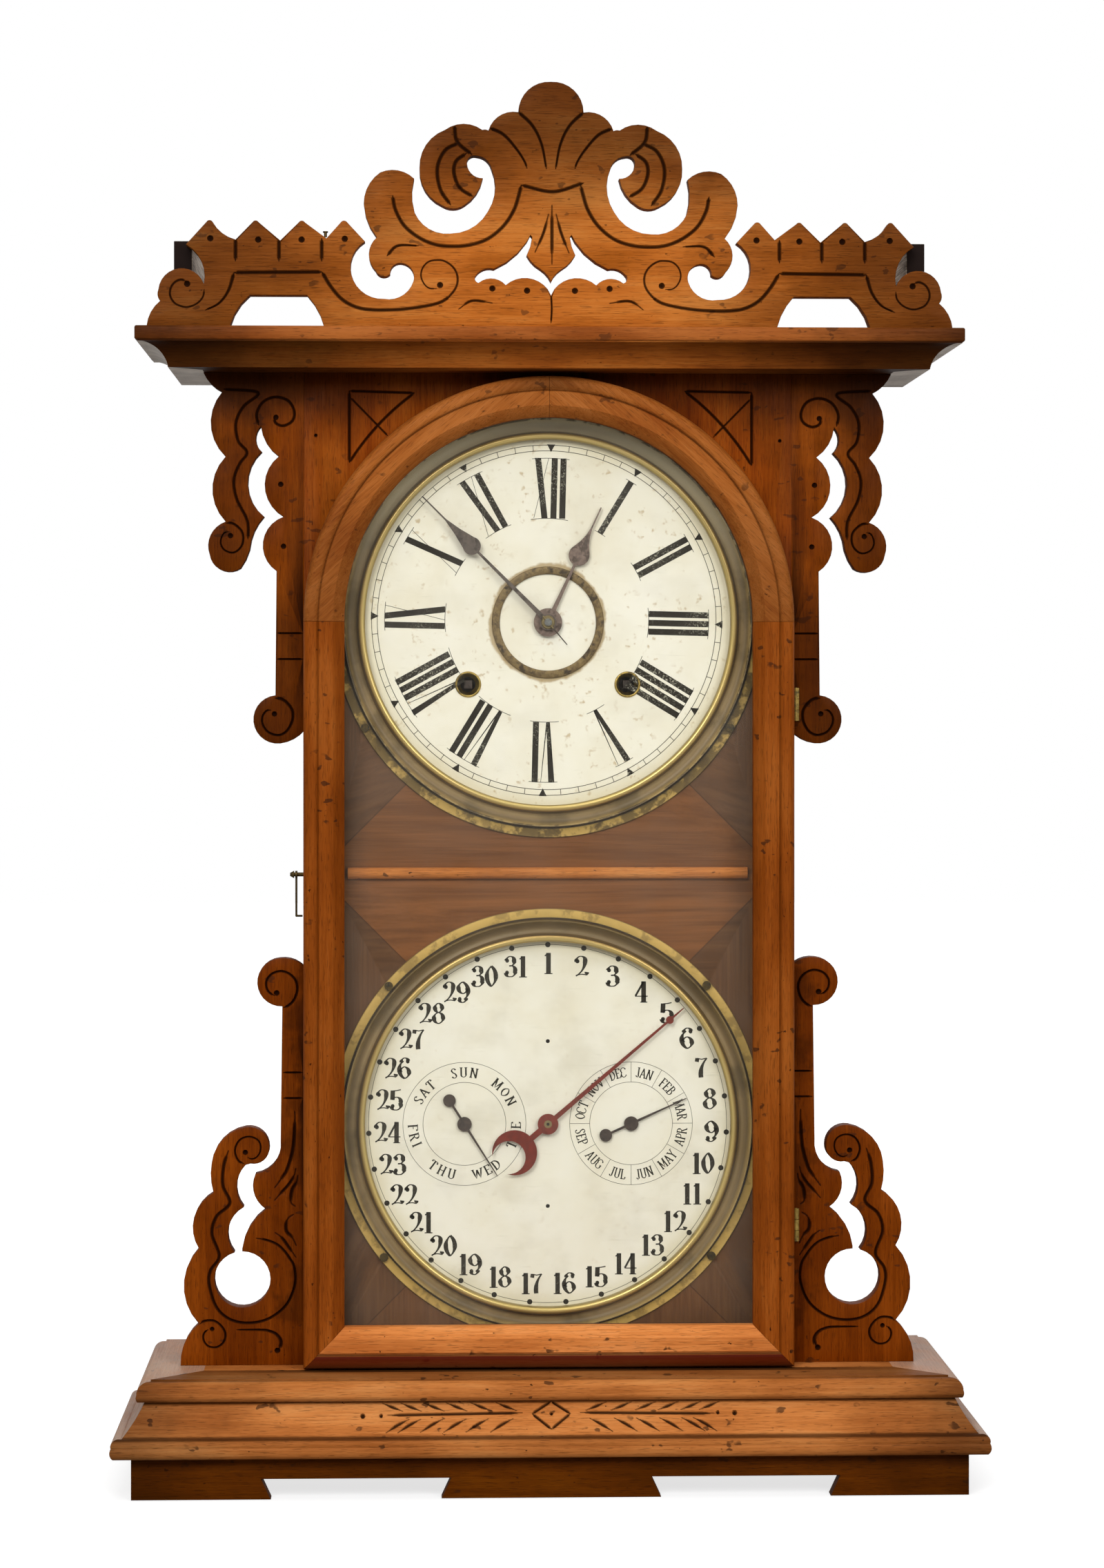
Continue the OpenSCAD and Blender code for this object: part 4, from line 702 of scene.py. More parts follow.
# Nearly black brown, with painted shade beside the door
LOWER_WOOD = wood("walnut of the lower brackets", "#582200", "#6e3002", "#884008", 10,
                  soot_and_shade=(140, 131, 0.4))
# Rubbed brown with many dents
DOOR_WOOD = wood("walnut of the door stiles", "#763608", "#8e4610", "#a2581e", 9, speck=0.8,
                 shades=[(80, 170, 0.15)])
# Lightened to tan as painted sheen, brown at the ends
BASE_WOOD = wood("walnut of the base lightened as painted sheen", "#a05a26", "#c2763a", "#d28c4e", 13, speck=0.8,
                 soot_and_shade=(130, 240, 0.6))
# The palest wood of the clock, lightened as painted sheen, with the most spots
RAIL_WOOD = wood("walnut of the door rail lightened as painted sheen", "#b2622a", "#d48242", "#e4985a", 13, speck=0.9)
# Narrow figure, as in short pieces sawn to a curve
ARCH_WOOD = wood("walnut of the arch", "#803f13", "#9a5722", "#ac6730", 4)
# Stain that hides the figure
DARK_WOOD = wood("dark stained walnut", "#462000", "#5a2a02", "#6e3804", 9, soot_and_shade=(150, 235, 0.45))
# Dull brown strips under dust, painted nearly black behind the dials as shade seen through the holes
TIME_VENEER = veneer("dusty veneer of the upper board", TIME_Z, 0.2)
CAL_VENEER = veneer("dusty veneer of the lower board", CAL_Z, 0.75)
# Black outside and grey inside
GALLERY_WOOD = gallery_wood("dusty boards behind the crest")
# Gold bead and flange about an olive channel: the upper one with painted light at its crown and painted
# shadow on its ridge and flange, the lower one dark at its crown
BEZEL_TOP = bezel_metal("spun brass of the time bezel", TIME_Z, "#bfae8e", 0.8, 0.75)
BEZEL_LOW = bezel_metal("spun brass of the calendar bezel", CAL_Z, "#4c381a", 0.6, 0.1)
# Cream, with brown dots on the upper dial and more smoke on the lower one
TIME_PAPER = paper("paper of the time dial", TIME_Z, ring_stain=True, foxed=0.6, smoky=0.12)
CAL_PAPER = paper("paper of the calendar dial", CAL_Z, ring_stain=False, foxed=0.12, smoky=0.2)
# Flat warm black, rubbed through in the numerals, sharp in the dates, greyer in the thin lines
BLACK_INK = ink("worn black ink", "#2b2620", 0.75)
SHARP_INK = ink("black ink of the calendar dial", "#2f2a23", 0.25)
FINE_INK = ink("grey hairline ink", "#453f34", 0.3)
# Yellow metal browned in patches, dull at the centre ring, bright in the movement
AGED_BRASS = aged_metal("aged brass", "#c0a052", "#8f7638", "#54431f", 0.34, metallic=0.7)
RING_BRASS = aged_metal("tarnished brass of the centre ring", "#80683e", "#5a4526", "#3c2c18", 0.5, 6,
                        0.5, 0.4)
MOVEMENT_BRASS = aged_metal("brass of the movement", "#cfae5d", "#b0903f", "#7d6430", 0.3, 14, 0.25)
# Grey steel, and steel browned all over so that it hardly shines
DIM_STEEL = aged_metal("dull steel", "#8a8a88", "#6a6865", "#45403a", 0.4, 10, 0.4)
HOUR_STEEL = aged_metal("browned steel of the hour hand", "#7c665a", "#634f46", "#4c3b32", 0.5, 5,
                        0.5, 0.3)
MINUTE_STEEL = aged_metal("browned steel of the minute hand", "#5f5148", "#4b3f38", "#3b302a", 0.5, 5,
                          0.5, 0.3)
SMALL_STEEL = aged_metal("dark steel of the small hands", "#4a3a32", "#382b25", "#2a201b", 0.5, 4,
                         0.5, 0.3)
DARK_SCREW = aged_metal("browned screw heads", "#5d4c2f", "#44371f", "#2e2415", 0.5, 3, 0.5)
# Even finishes: oily red, dark steel in brass, brown stain
RED_PAINT = plain("worn red paint", "#79291c", 0.5, CAL_Z)
PINNED_BRASS = plain("brass collet with a dark steel pin", "#4a3e35", 0.45, TIME_Z, 4.4)
STRIP_PAINT = plain("stained glazing strip", "#4a2a14", 0.6)
# Clear, with a film of dust that lifts the darks a little
GLASS = window_glass("dusty window glass")


# Base

def frame_runs(profile, width, front, fine=None):
    """Three mitred lengths of moulding from a profile of (setback, z): the front one, the left one and
    the right one. Along the front, a point with setback s runs from -(width / 2 - s) to its mirror."""
    s, z = np.array(profile, float).T
    half = width / 2
    shares = np.linspace(-1, 1, 9) if fine is None else fine / half
    front_x = shares[:, None] * (half - s - MITRE_GAP)[None]
    runs = [np.stack(np.broadcast_arrays(front_x, front + s, z), -1)]
    for side in (-1, 1):
        near = np.stack([side * (half - s), front + s + MITRE_GAP, z], -1)
        far = np.stack([side * (half - s), np.full(len(s), BACK_Y), z], -1)
        runs.append(np.stack([near, far]))
    return runs


def moulding(profile, width, front, offset, fine=None, cuts=(), dots=(), slope=None, dust=0.0,
             bands=((0.0, 0.0),)):
    """The three lengths as pieces; cuts lie on the front length where slope gives the push-in. The
    bands are (height, darkness) pairs for the dirt and painted shade along the front length."""
    front_run, left, right = frame_runs(profile, width, front, fine)
    points, blocks = loft(front_run)
    burn_and_shade = np.zeros(len(points))
    if slope is not None:
        low, high, push = slope
        on_face = (points[:, 2] > low) & (points[:, 2] < high) & (points[:, 1] < front + 20)
        fine_cuts = [(spline(p, 1.0), *more) for p, *more in cuts]
        depth, burn_and_shade[on_face] = carve(points[on_face][:, [0, 2]], fine_cuts, dots)
        points[on_face] += depth[:, None] * np.array(push)
    burn_and_shade = np.maximum(burn_and_shade, np.interp(points[:, 2], *zip(*bands)))
    return join([(points, blocks, grain_of(points, "x", offset), np.maximum(burn_and_shade, crevice(points))),
                 piece(loft(left), "y", (offset[0] + 300, 40, 20), burn_and_shade=-dust),
                 piece(loft(right), "y", (offset[0] + 700, 90, 60), burn_and_shade=-dust)])


def crevice(points):
    """Painted shade on the base's top: the door's shadow, thick where the door stands over it, and a thinner
    darkening in front of that.
    """
    on_top = np.abs(points[:, 2] - BASE_Z) < 0.05
    under = (points[:, 1] > CASE_Y - DOOR_T - 2) & (np.abs(points[:, 0]) < DOOR_R + 4)
    return np.where(on_top, np.where(under, 0.9, 0.45), 0.0)


# Dirt and painted shade in the creases, by height along the base's moulding and along the board on top
BASE_BANDS = ((22.9, 0.6), (24.5, 0.22), (31.0, 0.16), (32.4, 0.3), (32.7, 0.8), (33.4, 0.8),
              (34.4, 0.0), (48.6, 0.0), (50.4, 0.75))
BOARD_BANDS = ((50.9, 0.5), (52.0, 0.5), (53.5, 0.12), (59.5, 0.1), (60.9, 0.15), (61.02, 0.6),
               (61.9, 0.5))


def base_profile():
    """Section of the base moulding: rounded foot, small bead, hollow slope."""
    slope = arc((5.7, 33), (12.15, 41.6), (17.4, 51), 0.3)
    foot = path((1.5, PLINTH_H), [(0, 26, 0.6, 29), (1.4, 32.5, 5.7, SLOPE_Z)])
    return [*foot, *slope, (MOULDING_W, BOARD_Z), (MOULDING_W, PLINTH_H)]


def fern(side):
    """One side's carved spray: a spine with barbs that point away from the middle."""
    lines = [cut((side * 15.2, 44.4), (side * 86.5, 43.6), width=1.6, deep=0.8, taper=6.0)]
    above = [((x, 49.4), (x - 5, 47.6), (x - 11, 45.4)) for x in (29.3, 42.7, 55.5, 67.5, 79.6, 89.4)]
    below = [((x, 41.6), (x + 6, 38.9), (x + 12, 35.4)) for x in (20.2, 33.3, 44.9, 57.3, 69.0, 75.2)]
    for barb in above + below:
        lines.append(cut(*((side * x, z) for x, z in barb), width=1.7, deep=0.8, taper=5.0))
    return lines


def make_base():
    """Plinth boards, carved moulding and base board."""
    half, front = BASE_W / 2 - PLINTH_IN, BASE_Y + PLINTH_IN
    points, blocks, burn_and_shade = plate(cad_loops("plinth", front), front, front + PLINTH_T)
    boards = [(points, blocks, grain_of(points, "x", (50, 0, 300)), burn_and_shade)]
    for k, x in enumerate((-half, half - PLINTH_T)):
        side = plank(x, x + PLINTH_T, front + PLINTH_T, BACK_Y, 0, PLINTH_H, 0.5, "y")
        boards.append(piece(side, "y", (k * 200, 30, 0)))
    build("plinth", join(boards), DARK_WOOD)
    diamond = [(-10.1, 43.9), (0, 49.9), (10.1, 43.9), (0, 36.6)]
    lines = [cut(a, b, width=1.5) for a, b in zip(diamond, diamond[1:] + diamond[:1])]
    lines += fern(-1) + fern(1)
    spots = [(0, 43.8, 0.8), (-89.9, 43.3, 0.9), (-99.6, 43.3, 1.2), (88.3, 44, 0.9), (97.2, 43.8, 1.2)]
    fine = np.concatenate([np.linspace(-232, -112, 7), np.linspace(-110, 110, 480),
                           np.linspace(112, 232, 7)])
    slope = (SLOPE_Z + 0.2, BOARD_Z - 0.1, (0.0, 0.85, -0.5))
    runs = moulding(base_profile(), BASE_W, BASE_Y, (120, 15, 60), fine, lines, spots, slope, 0.25,
                    BASE_BANDS)
    build("base_moulding", runs, BASE_WOOD)
    width, front = BASE_W - 25.6, BASE_Y + 12.8
    half = width / 2
    profile = path((0.8, BOARD_Z), [(0, 53, 0.3, 55), (2.1, 59.5, 6.5, 61), (7.5, 61), (7.5, BASE_Z),
                                    (25.4, BASE_Z), (26.6, BASE_Z), (MOULDING_W, BASE_Z),
                                    (MOULDING_W, BOARD_Z)])
    middle = plank(MOULDING_W - half, half - MOULDING_W, front + MOULDING_W + 0.1, BACK_Y, BOARD_Z,
                   BASE_Z, 0.1)
    across = np.array([-half, -138, -136, -134, 134, 136, 138, half])
    runs = moulding(profile, width, front, (430, 70, 20), across, dust=0.25, bands=BOARD_BANDS)
    build("base_board", join([runs, piece(middle, "x", (900, 0, 70))]), BASE_WOOD)


# Case

def spandrels():
    """The incised triangles beside the arch: two straight sides and an arc that follows the arch."""
    lines = []
    for side, x0, z0, x1, z1, z2 in ((-1, 107.6, 588.6, 72.5, 587.6, 549.8),
                                     (1, 110.4, 588.3, 74.0, 588.9, 548.6)):
        radii = np.linspace(math.hypot(x1, z1 - TIME_Z), math.hypot(x0, z2 - TIME_Z), 7)
        turns = np.linspace(math.atan2(z1 - TIME_Z, x1), math.atan2(z2 - TIME_Z, x0), 7)
        bow = [(side * r * math.cos(a), TIME_Z + r * math.sin(a)) for a, r in zip(turns, radii)]
        corner = (side * x0, z0)
        lines += [cut(corner, (side * x1, z1), width=1.7), cut(*bow, width=1.8),
                  cut(corner, (side * x0, z2), width=1.9),
                  cut((side * (x0 - 0.5), z0 - 3.5), (side * (x0 - 21), z0 - 24.5), width=1.3, deep=0.7)]
    return lines


def make_case():
    """Case boards, front frame, dial boards and the half-round between the dials."""
    half = CASE_W / 2
    sides = [piece(plank(x, x + SIDE_T, BOARD_Y, BACK_Y, BASE_Z, CASE_TOP, 0.4, "z"), "z", offset)
             for x, offset in ((-half, (40, 200, 0)), (half - SIDE_T, (800, 0, 90)))]
    build("case_sides", join(sides), CASE_WOOD)
    back = plank(SIDE_T - half, half - SIDE_T, BACK_Y - BACK_T, BACK_Y, BASE_Z, CASE_TOP, 0.3, "z")
    build("backboard", piece(back, "z", (0, 500, 300)), DARK_WOOD)
    sawn("front_frame", CASE_Y, BOARD_Y, "z", (300, 0, 150), CASE_WOOD, cuts=spandrels(),
         dots=[(-125.7, 564.5, 1.0), (125.7, 562.1, 1.0)], rounding=0.3)
    make_dial_board("dial_board_upper", TIME_Z, TIME_VENEER)
    make_dial_board("dial_board_lower", CAL_Z, CAL_VENEER)
    low, high, lip = DIVIDER_Z - 3.1, DIVIDER_Z + 3.1, BOARD_Y - 1.15
    profile = path((BOARD_Y, low), [(BOARD_Y, high), (lip, high), (BOARD_Y - 4.6, DIVIDER_Z, lip, low)])
    rings = np.array([[(x, y, z) for y, z in profile] for x in np.linspace(-108.5, 108.5, 5)])
    build("divider_moulding", piece(loft(rings), "x", (60, 33, 5)), BASE_WOOD)


def make_dial_board(name, centre_z, material):
    """A dial board whose face veneer meets in mitres from its corners to its middle. Each triangle of
    veneer turns its grain across its own side of the board."""
    points, blocks, burn_and_shade = plate(cad_loops(name, BOARD_Y), BOARD_Y, BOARD_BACK, rounding=0.05,
                                 wall_dark=0.0)
    upright = np.abs(points[:, 2] - centre_z) - np.abs(points[:, 0]) < MITRE
    grain = np.where(upright[:, None], points[:, [2, 1, 0]], points) + np.where(upright, 400, 0)[:, None]
    build(name, (points, blocks, grain, burn_and_shade), material)


# Cornice

def make_cornice():
    """Coved moulding with its soffit, and the board on top."""
    profile = path((1.2, CORNICE_Z), [(1.2, 611.2), (4.2, 611.2), (13.2, 606.0, 16.6, CASE_TOP),
                                      (MOULDING_W, CASE_TOP), (MOULDING_W, CORNICE_Z)], 4)
    half = CORNICE_W / 2
    inner = half - MOULDING_W
    soffit = plank(-inner, inner, CORNICE_Y + MOULDING_W + 0.1, BACK_Y, CASE_TOP, CORNICE_Z, 0.1)
    runs = moulding(profile, CORNICE_W, CORNICE_Y, (510, 5, 45), dust=0.95)
    build("cornice_moulding", join([runs, piece(soffit, "x", (0, 90, 300))]), COVE_WOOD)
    board = plank(-half, half, CORNICE_Y, BACK_Y, CORNICE_Z, CREST_Z, 1.0)
    build("cornice_board", piece(board, "x", (75, 60, 130)), CORNICE_WOOD)


CREST_CUTS = mirrored([
    cut((-183, 627.4), (-175.6, 631.2), (-170.6, 638), (-167.7, 647.4), width=1, last=2.3),
    cut((-167.7, 647.4), (-121.3, 647.9)),
    cut((-121.3, 647.9), (-116.6, 640.2), (-110.6, 633.4), (-103, 629.3), (-94, 627.9), (-79.9, 628.2),
        (-67.1, 629.9), (-58.8, 632), (-53.6, 635.2), width=2.4, last=2),
    cut((-55.2, 633.8), (-51.4, 638.2), (-49.7, 642), (-49.6, 645.9), (-50.9, 649.3), (-53.3, 652),
        (-57, 654.1), (-60.6, 654.4), (-64.3, 653.8), (-67, 651.7), (-68.5, 649), (-68.9, 645.9),
        (-67.9, 642.9), (-66.1, 640.5), (-63.7, 639.3), (-60.6, 639.4), width=1.6, last=0.9, deep=0.6),
    cut((-83.9, 688.4), (-82.4, 680.9), (-77.7, 672.5), (-70, 666.3), (-61.6, 662.7), (-53.2, 661.7),
        (-43.4, 662.4), (-33.5, 665.8), (-25.1, 672.7), (-19.6, 681.2), (-16.9, 689.6), (-15.8, 694.3)),
    cut((-32.6, 724.6), (-25.1, 721), (-18.2, 713.3), (-14.1, 707), (-12.7, 703.1), last=1.2),
    cut((-17.4, 733.2), (-9.8, 725.8), (-5, 716), (-2.4, 702.8), last=1.2),
    cut((-51.2, 726), (-49.7, 717.2), (-41.9, 710.3)),
    cut((-49, 716.5), (-56.2, 712.4), (-60.2, 703.3), (-58.7, 692), (-53.2, 683.6)),
    cut((-44.8, 711), (-50.3, 706.8), (-51.4, 700.4), (-48.3, 692.7), (-41.2, 688)),
    cut((-86.8, 656.6), (-81.2, 661.9), (-70, 662), last=1),
    cut((-49, 628.4), (-41.9, 632.9), (-31, 631.8), width=1.7, taper=6),
    cut((-166.9, 653.6), (-166.9, 665.6)),
    cut((-144, 653.6), (-144, 665.6)),
    cut((-121.4, 653.6), (-121.4, 665.6)),
    cut((-192.9, 642.6), (-195.5, 643.6), (-198.5, 642.5), (-200.6, 640.1), (-201.5, 636.8),
        (-200.9, 633.8), (-198.8, 631), (-195.5, 629.5), (-192.4, 629.1), (-188.8, 630.1),
        (-185.8, 632.2), (-183.9, 635), (-183.4, 638.6), width=1.5, last=1.1, deep=0.7),
]) + [
    cut((-15.8, 694.3), (1.2, 690.9), (17.3, 695.6)),
    cut((0.5, 683.8), (0.5, 652.4), width=2.1, taper=9),
    cut((-1.3, 679.1), (-4, 669), (-8.5, 658.7), width=1.8, taper=7),
    cut((2.7, 679.1), (5.4, 669), (9.6, 658.3), width=1.8, taper=7),
    cut((0, 637), (0.4, 629), (0, 621.2), width=1.2),
]
CREST_DOTS = [(sign * x, z, 1.7) for x, z in (
    (180.2, 665.5), (154.9, 664.9), (132, 665), (109.2, 665.5), (31.1, 639.5), (12.7, 638.4),
    (58.8, 641.2), (192.4, 641.4)) for sign in (-1, 1)]

UPPER_CUTS = [
    cut((-175.4, 589.4), (-156.8, 587.6), (-164.6, 580.1), (-168.7, 571.5), (-167.6, 561.5), (-162.8, 555.1),
        (-166.9, 548.8), (-169.9, 540.2), (-168.4, 530.2), (-163.4, 520.2), (-162.2, 515.2), (-162.3, 508.4),
        width=1.9),
    cut((-156.6, 570), (-157.6, 576), (-154.2, 582.4), (-147.5, 585.2), (-140.5, 583.1), (-137.3, 577.3),
        (-138.4, 572.2), (-143.2, 569.6), (-147.2, 571), (-148.3, 574), width=1.8),
    cut((-174, 516.9), (-171, 517), (-167.9, 515.1), (-165.4, 512.1), (-164.8, 508.4), (-165.7, 504.7),
        (-168.2, 501.9), (-171.3, 501), (-175, 502.5), (-176.8, 505.3), (-176.8, 508.4),
        (-175.3, 511.5), (-172.8, 512.4), width=1.7, last=0.9),
    cut((-147, 457.5), (-132.4, 457.5), width=1.3),
    cut((-147, 443.5), (-132.4, 443.5), width=1.3),
    cut((-147.7, 422.4), (-144.3, 422), (-141.2, 419.9), (-138.5, 416.2), (-138, 412.5), (-138.8, 408.8),
        (-141.2, 404.8), (-144.3, 402.7), (-147.4, 402.5), (-151.1, 403.9), (-153.6, 406.7),
        (-154.7, 410.1), (-154.2, 413.1), (-152.3, 415.6), (-149.9, 416), width=2.1, last=1.2),
]
UPPER_DOTS = [(-144.6, 538, 1.5), (-143.1, 504.5, 1.5), (-147.2, 574.2, 1.5), (-171.7, 510.2, 1.5),
              (-148, 413.9, 1.5)]
LOWER_CUTS = [
    cut((-137, 199.2), (-137, 192.8), (-137.9, 179.4), (-140.9, 168.3), (-143.5, 163.8), (-147.9, 157.8),
        taper=9),
    cut((-136.4, 168.3), (-137.6, 163.8), (-140.5, 159.3), (-143.9, 155.6), (-147.9, 151.1), width=2,
        taper=7),
    cut((-135.3, 164.5), (-136.1, 160.8), (-138.2, 157.1), (-139, 153.4), (-138.9, 149.6),
        (-136.8, 147.8), width=2.4, taper=6),
    cut((-137.7, 143.4), (-140.5, 141.4), (-141.8, 137.7), (-141.3, 134), (-139, 131.7),
        (-137.6, 129.5), (-136.2, 126.5), taper=8),
    cut((-147.6, 133.6), (-144.2, 131), (-141.3, 127.2), (-138.7, 123.5), (-136.4, 120.2), width=2,
        taper=6),
    cut((-172.8, 178), (-175.4, 169.5), (-175.8, 159), (-172.1, 149.5), (-179.3, 142.3), (-181.7, 133),
        (-177.8, 121), (-182.5, 113.2), (-183.2, 105.8), (-179.3, 93.5), (-171.7, 86.7), (-161.3, 84.8),
        (-150.5, 87.4), (-141.4, 94.8), (-136.9, 105.6), (-137.2, 114.6), (-139.8, 119.8),
        (-143.5, 124.6), (-147.2, 127.6), (-152.4, 129.6), (-157.9, 130.6), last=1.6, taper=5),
    cut((-164.4, 170.9), (-166.9, 172), (-168.4, 174.2), (-169.3, 177.3), (-168.8, 180.4), (-167.2, 183.2),
        (-165, 184.8), (-161.9, 185.5), (-158.8, 184.8), (-156.3, 182.9), (-155.4, 179.8),
        (-156, 176.6), (-157.9, 174.2), (-160.4, 173.4), (-162.5, 174.4), width=1.5, last=0.9),
    cut((-188, 84.5), (-186.5, 85.7), (-183.4, 86.3), (-180.4, 86), (-177.6, 84.2), (-175.4, 81.5),
        (-174.4, 78.3), (-175.4, 74.6), (-178.2, 72.2), (-181, 71.7), (-184, 72.6), (-185.9, 75),
        (-186.4, 77.8), (-185.6, 79.9), (-183.7, 81.4), width=1.7, last=1.2),
    cut((-168.4, 81.2), (-154.5, 81), (-150.2, 80.2), (-147.1, 78.7), (-144.8, 75.9), (-144.5, 73.1),
        (-145.6, 70.6), width=0.9, last=2.6),
    cut((-143.3, 220.1), (-132.4, 220.1), width=1.3),
    cut((-143.3, 206.2), (-132.4, 206.2), width=1.3),
    cut((-143, 255.2), (-140.5, 256.2), (-137.7, 258.9), (-136, 262.7), (-135.6, 266.4), (-136.7, 270.1),
        (-139.2, 272.9), (-142.3, 274.5), (-145.4, 274.8), (-149.1, 273.6), (-151.6, 271.1),
        (-152.5, 268.3), (-151.9, 264.9), (-150, 262.7), (-147.9, 261.7), width=1.8, last=1.4),
]
LOWER_DOTS = [(-163.7, 177, 1.5), (-181.6, 81.7, 1.3), (-146.8, 263.1, 1.6), (-146.4, 69.9, 1.6)]


def make_sawn():
    """Crest, the boards behind it, and the four brackets."""
    sawn("crest", CREST_FRONT, CREST_BACK, "x", (200, 12, 640), CREST_WOOD, cuts=CREST_CUTS, dots=CREST_DOTS)
    gallery = [piece(plank(x, x + 10, CREST_BACK, BACK_Y - 5, CREST_Z, CREST_Z + GALLERY_H, 0.4, "y"),
                     "y", (x, 60, 400)) for x in (-200, 190)]
    build("crest_gallery_sides", join(gallery), GALLERY_WOOD)
    nail = [(0.02, 0.0), (0.8, 0.0), (0.8, 2.2), (1.35, 2.4), (1.35, 3.1), (0.02, 3.3)]
    t = np.linspace(0, math.tau, 20, endpoint=False)
    rings = [[(-119.5 + r * math.cos(a), (CREST_FRONT + CREST_BACK) / 2 + r * math.sin(a), 666.9 + h)
              for a in t] for r, h in nail]
    build("crest_nail", piece(loft(rings)), DARK_SCREW, replaces=False)
    for level, cuts, dots, material in (("upper", UPPER_CUTS, UPPER_DOTS, UPPER_WOOD),
                                        ("lower", LOWER_CUTS, LOWER_DOTS, LOWER_WOOD)):
        for side, sign in (("left", 1), ("right", -1)):
            sawn(f"{level}_bracket_{side}", CASE_Y, CASE_Y + SAWN_T, "z",
                 (500 + 300 * sign, 20, 150 * (sign + 2)), material,
                 cuts=flipped(cuts, sign), dots=[(sign * x, z, r) for x, z, r in dots])


# Door

def door_section(recess=0.0):
    """Section of a door member: inset from the outer edge and height above the door's back. The
    recess takes a hinge leaf."""
    face = path((0, 17.5), [(1.4, 21, 4.5, DOOR_T), (6.8, 21.5, 7.7, 20.6), (8.0, 20.1), (8.6, 20.6),
                            (15.9, 20.6), (21.9, 15.5), (21.9, 9.5), (16.9, 9.5), (16.9, 0)], 12)
    return np.array([(0.0, recess), *face, (13.05, 0.0), (13.0, recess)])


# Insets from a door member's outer edge at which its groove starts, falls, lies and ends, then those of
# its bevel, and half the height and the depth of the recess for a hinge leaf
GROOVE_S = (0.0, 6.8, 7.7, 8.0, 8.6)
MEMBER_S = GROOVE_S + (15.9, 16.6, 21.9)
LEAF_HALF, LEAF_DEEP = 9.3, 2.4


def arch_dirt(s, angles):
    """How dark the arch is: its groove, its bevel in painted shade, its feet, and the top of its outer
    bead with dirt and the cornice's painted shadow, where s is the inset from the outer edge."""
    across = np.interp(s, MEMBER_S, (0.0, 0.0, 0.5, 0.5, 0.0, 0.0, 0.34, 0.38))
    feet = np.interp(np.degrees(angles), (0, 22, 40), (0.32, 0.26, 0.0))
    crown = np.interp(np.degrees(angles), (74, 88), (0.0, 0.55))[:, None] * (s < 7)[None]
    return np.maximum(np.maximum(across[None], feet[:, None]), crown).ravel()


def make_stile(name, side):
    """An upright of the door; the right one has a recess for each hinge leaf."""
    section, recessed = door_section(), door_section(LEAF_DEEP)
    s = section[:, 0]
    stations = [(DOOR_Z + s + DOOR_GAP, section)]
    for z in HINGE_ZS if side > 0 else ():
        low, high = z - LEAF_HALF, z + LEAF_HALF
        stations += [(low, section), (low + 0.05, recessed), (high, recessed), (high + 0.05, section)]
    stations.append((TIME_Z - DOOR_GAP, section))
    rings = [np.stack([side * (DOOR_R - at[:, 0]), CASE_Y - at[:, 1], z + 0 * s], -1)
             for z, at in stations]
    points, blocks, grain, _ = piece(loft(rings), "z", (150 + 420 * side, 7, 260))
    dark = np.interp(s, MEMBER_S, (0.0, 0.0, 0.25, 0.25, 0.0, 0.0, 0.14, 0.2))
    build(name, (points, blocks, grain, np.tile(dark, len(rings))), DOOR_WOOD, "door")


def make_arch(name, side):
    """A quarter of the arch: the door's section carried round the time dial's centre."""
    s, h = door_section().T
    angles = np.radians(np.linspace(0.04, 89.96, 49))
    rings = [np.stack([side * (DOOR_R - s) * math.cos(a), CASE_Y - h,
                       TIME_Z + (DOOR_R - s) * math.sin(a)], -1) for a in angles]
    points, blocks, grain, _ = piece(loft(rings), "x", (300 * side, 11, 90), angle=-42 * side)
    build(name, (points, blocks, grain, arch_dirt(s, angles)), ARCH_WOOD, "door")


def make_door():
    """Two stiles, bottom rail and two arch quarters, mitred at the foot and butted at the spring."""
    make_stile("door_stile_left", -1)
    make_stile("door_stile_right", 1)
    s, h = door_section().T
    rings = [np.stack([k * (DOOR_R - s - DOOR_GAP), CASE_Y - h, DOOR_Z + s], -1)
             for k in np.linspace(-1, 1, 5)]
    points, blocks, grain, _ = piece(loft(rings), "x", (640, 3, 12))
    # The lower bead is painted a deep red shade, the groove dark
    burn_and_shade = np.tile(np.interp(s, (0.0, 2.0, *GROOVE_S[1:]), (1.5, 1.9, 2.0, 0.7, 0.6, 0.0)), len(rings))
    build("door_bottom_rail", (points, blocks, grain, burn_and_shade), RAIL_WOOD, "door")
    make_arch("door_arch_left", -1)
    make_arch("door_arch_right", 1)


# Brass on the dials

def make_brass():
    """Bezels, centre ring and grommets."""
    profile = path((99.2, 0.6), [(99.2, 5.4), (101, 7, 103, 5.2), (103.3, 4.3), (103.9, 2.5),
                                 (106.8, 2.0, 109.4, 3.2), (110.2, 4.4), (110.9, 4.5), (111.3, 3.2),
                                 (111.7, 1.7), (116.6, 1.35), (117, 0.9), (117, 0), (104.8, 0),
                                 (104.8, 0.6)], 12)
    for name, z, material in (("time_bezel", TIME_Z, BEZEL_TOP), ("calendar_bezel", CAL_Z, BEZEL_LOW)):
        build(name, piece(lathe(profile, z, BOARD_Y, segments=256)), material)
    ring = path((26.2, 0), [(26.2, 0.8), (26.5, 1.1, 26.8, 1.2), (29.8, 1.2), (30.1, 1.1, 30.4, 0.8),
                            (30.4, 0)], 20)
    build("centre_ring", piece(lathe(ring, TIME_Z, DIAL_Y)), RING_BRASS)
    lip = path((5.9, -2.4), [(5.9, 0.5), (6.2, 0.8, 6.5, 0.8), (6.9, 0.6, 7.1, 0), (6.5, 0), (6.5, -2.4)], 20)
    lips = [piece(lathe(lip, WIND_Z, DIAL_Y, x, 64)) for x in (-WIND_X, WIND_X)]
    build("winding_grommets", join(lips), AGED_BRASS)


# Printing on the dials

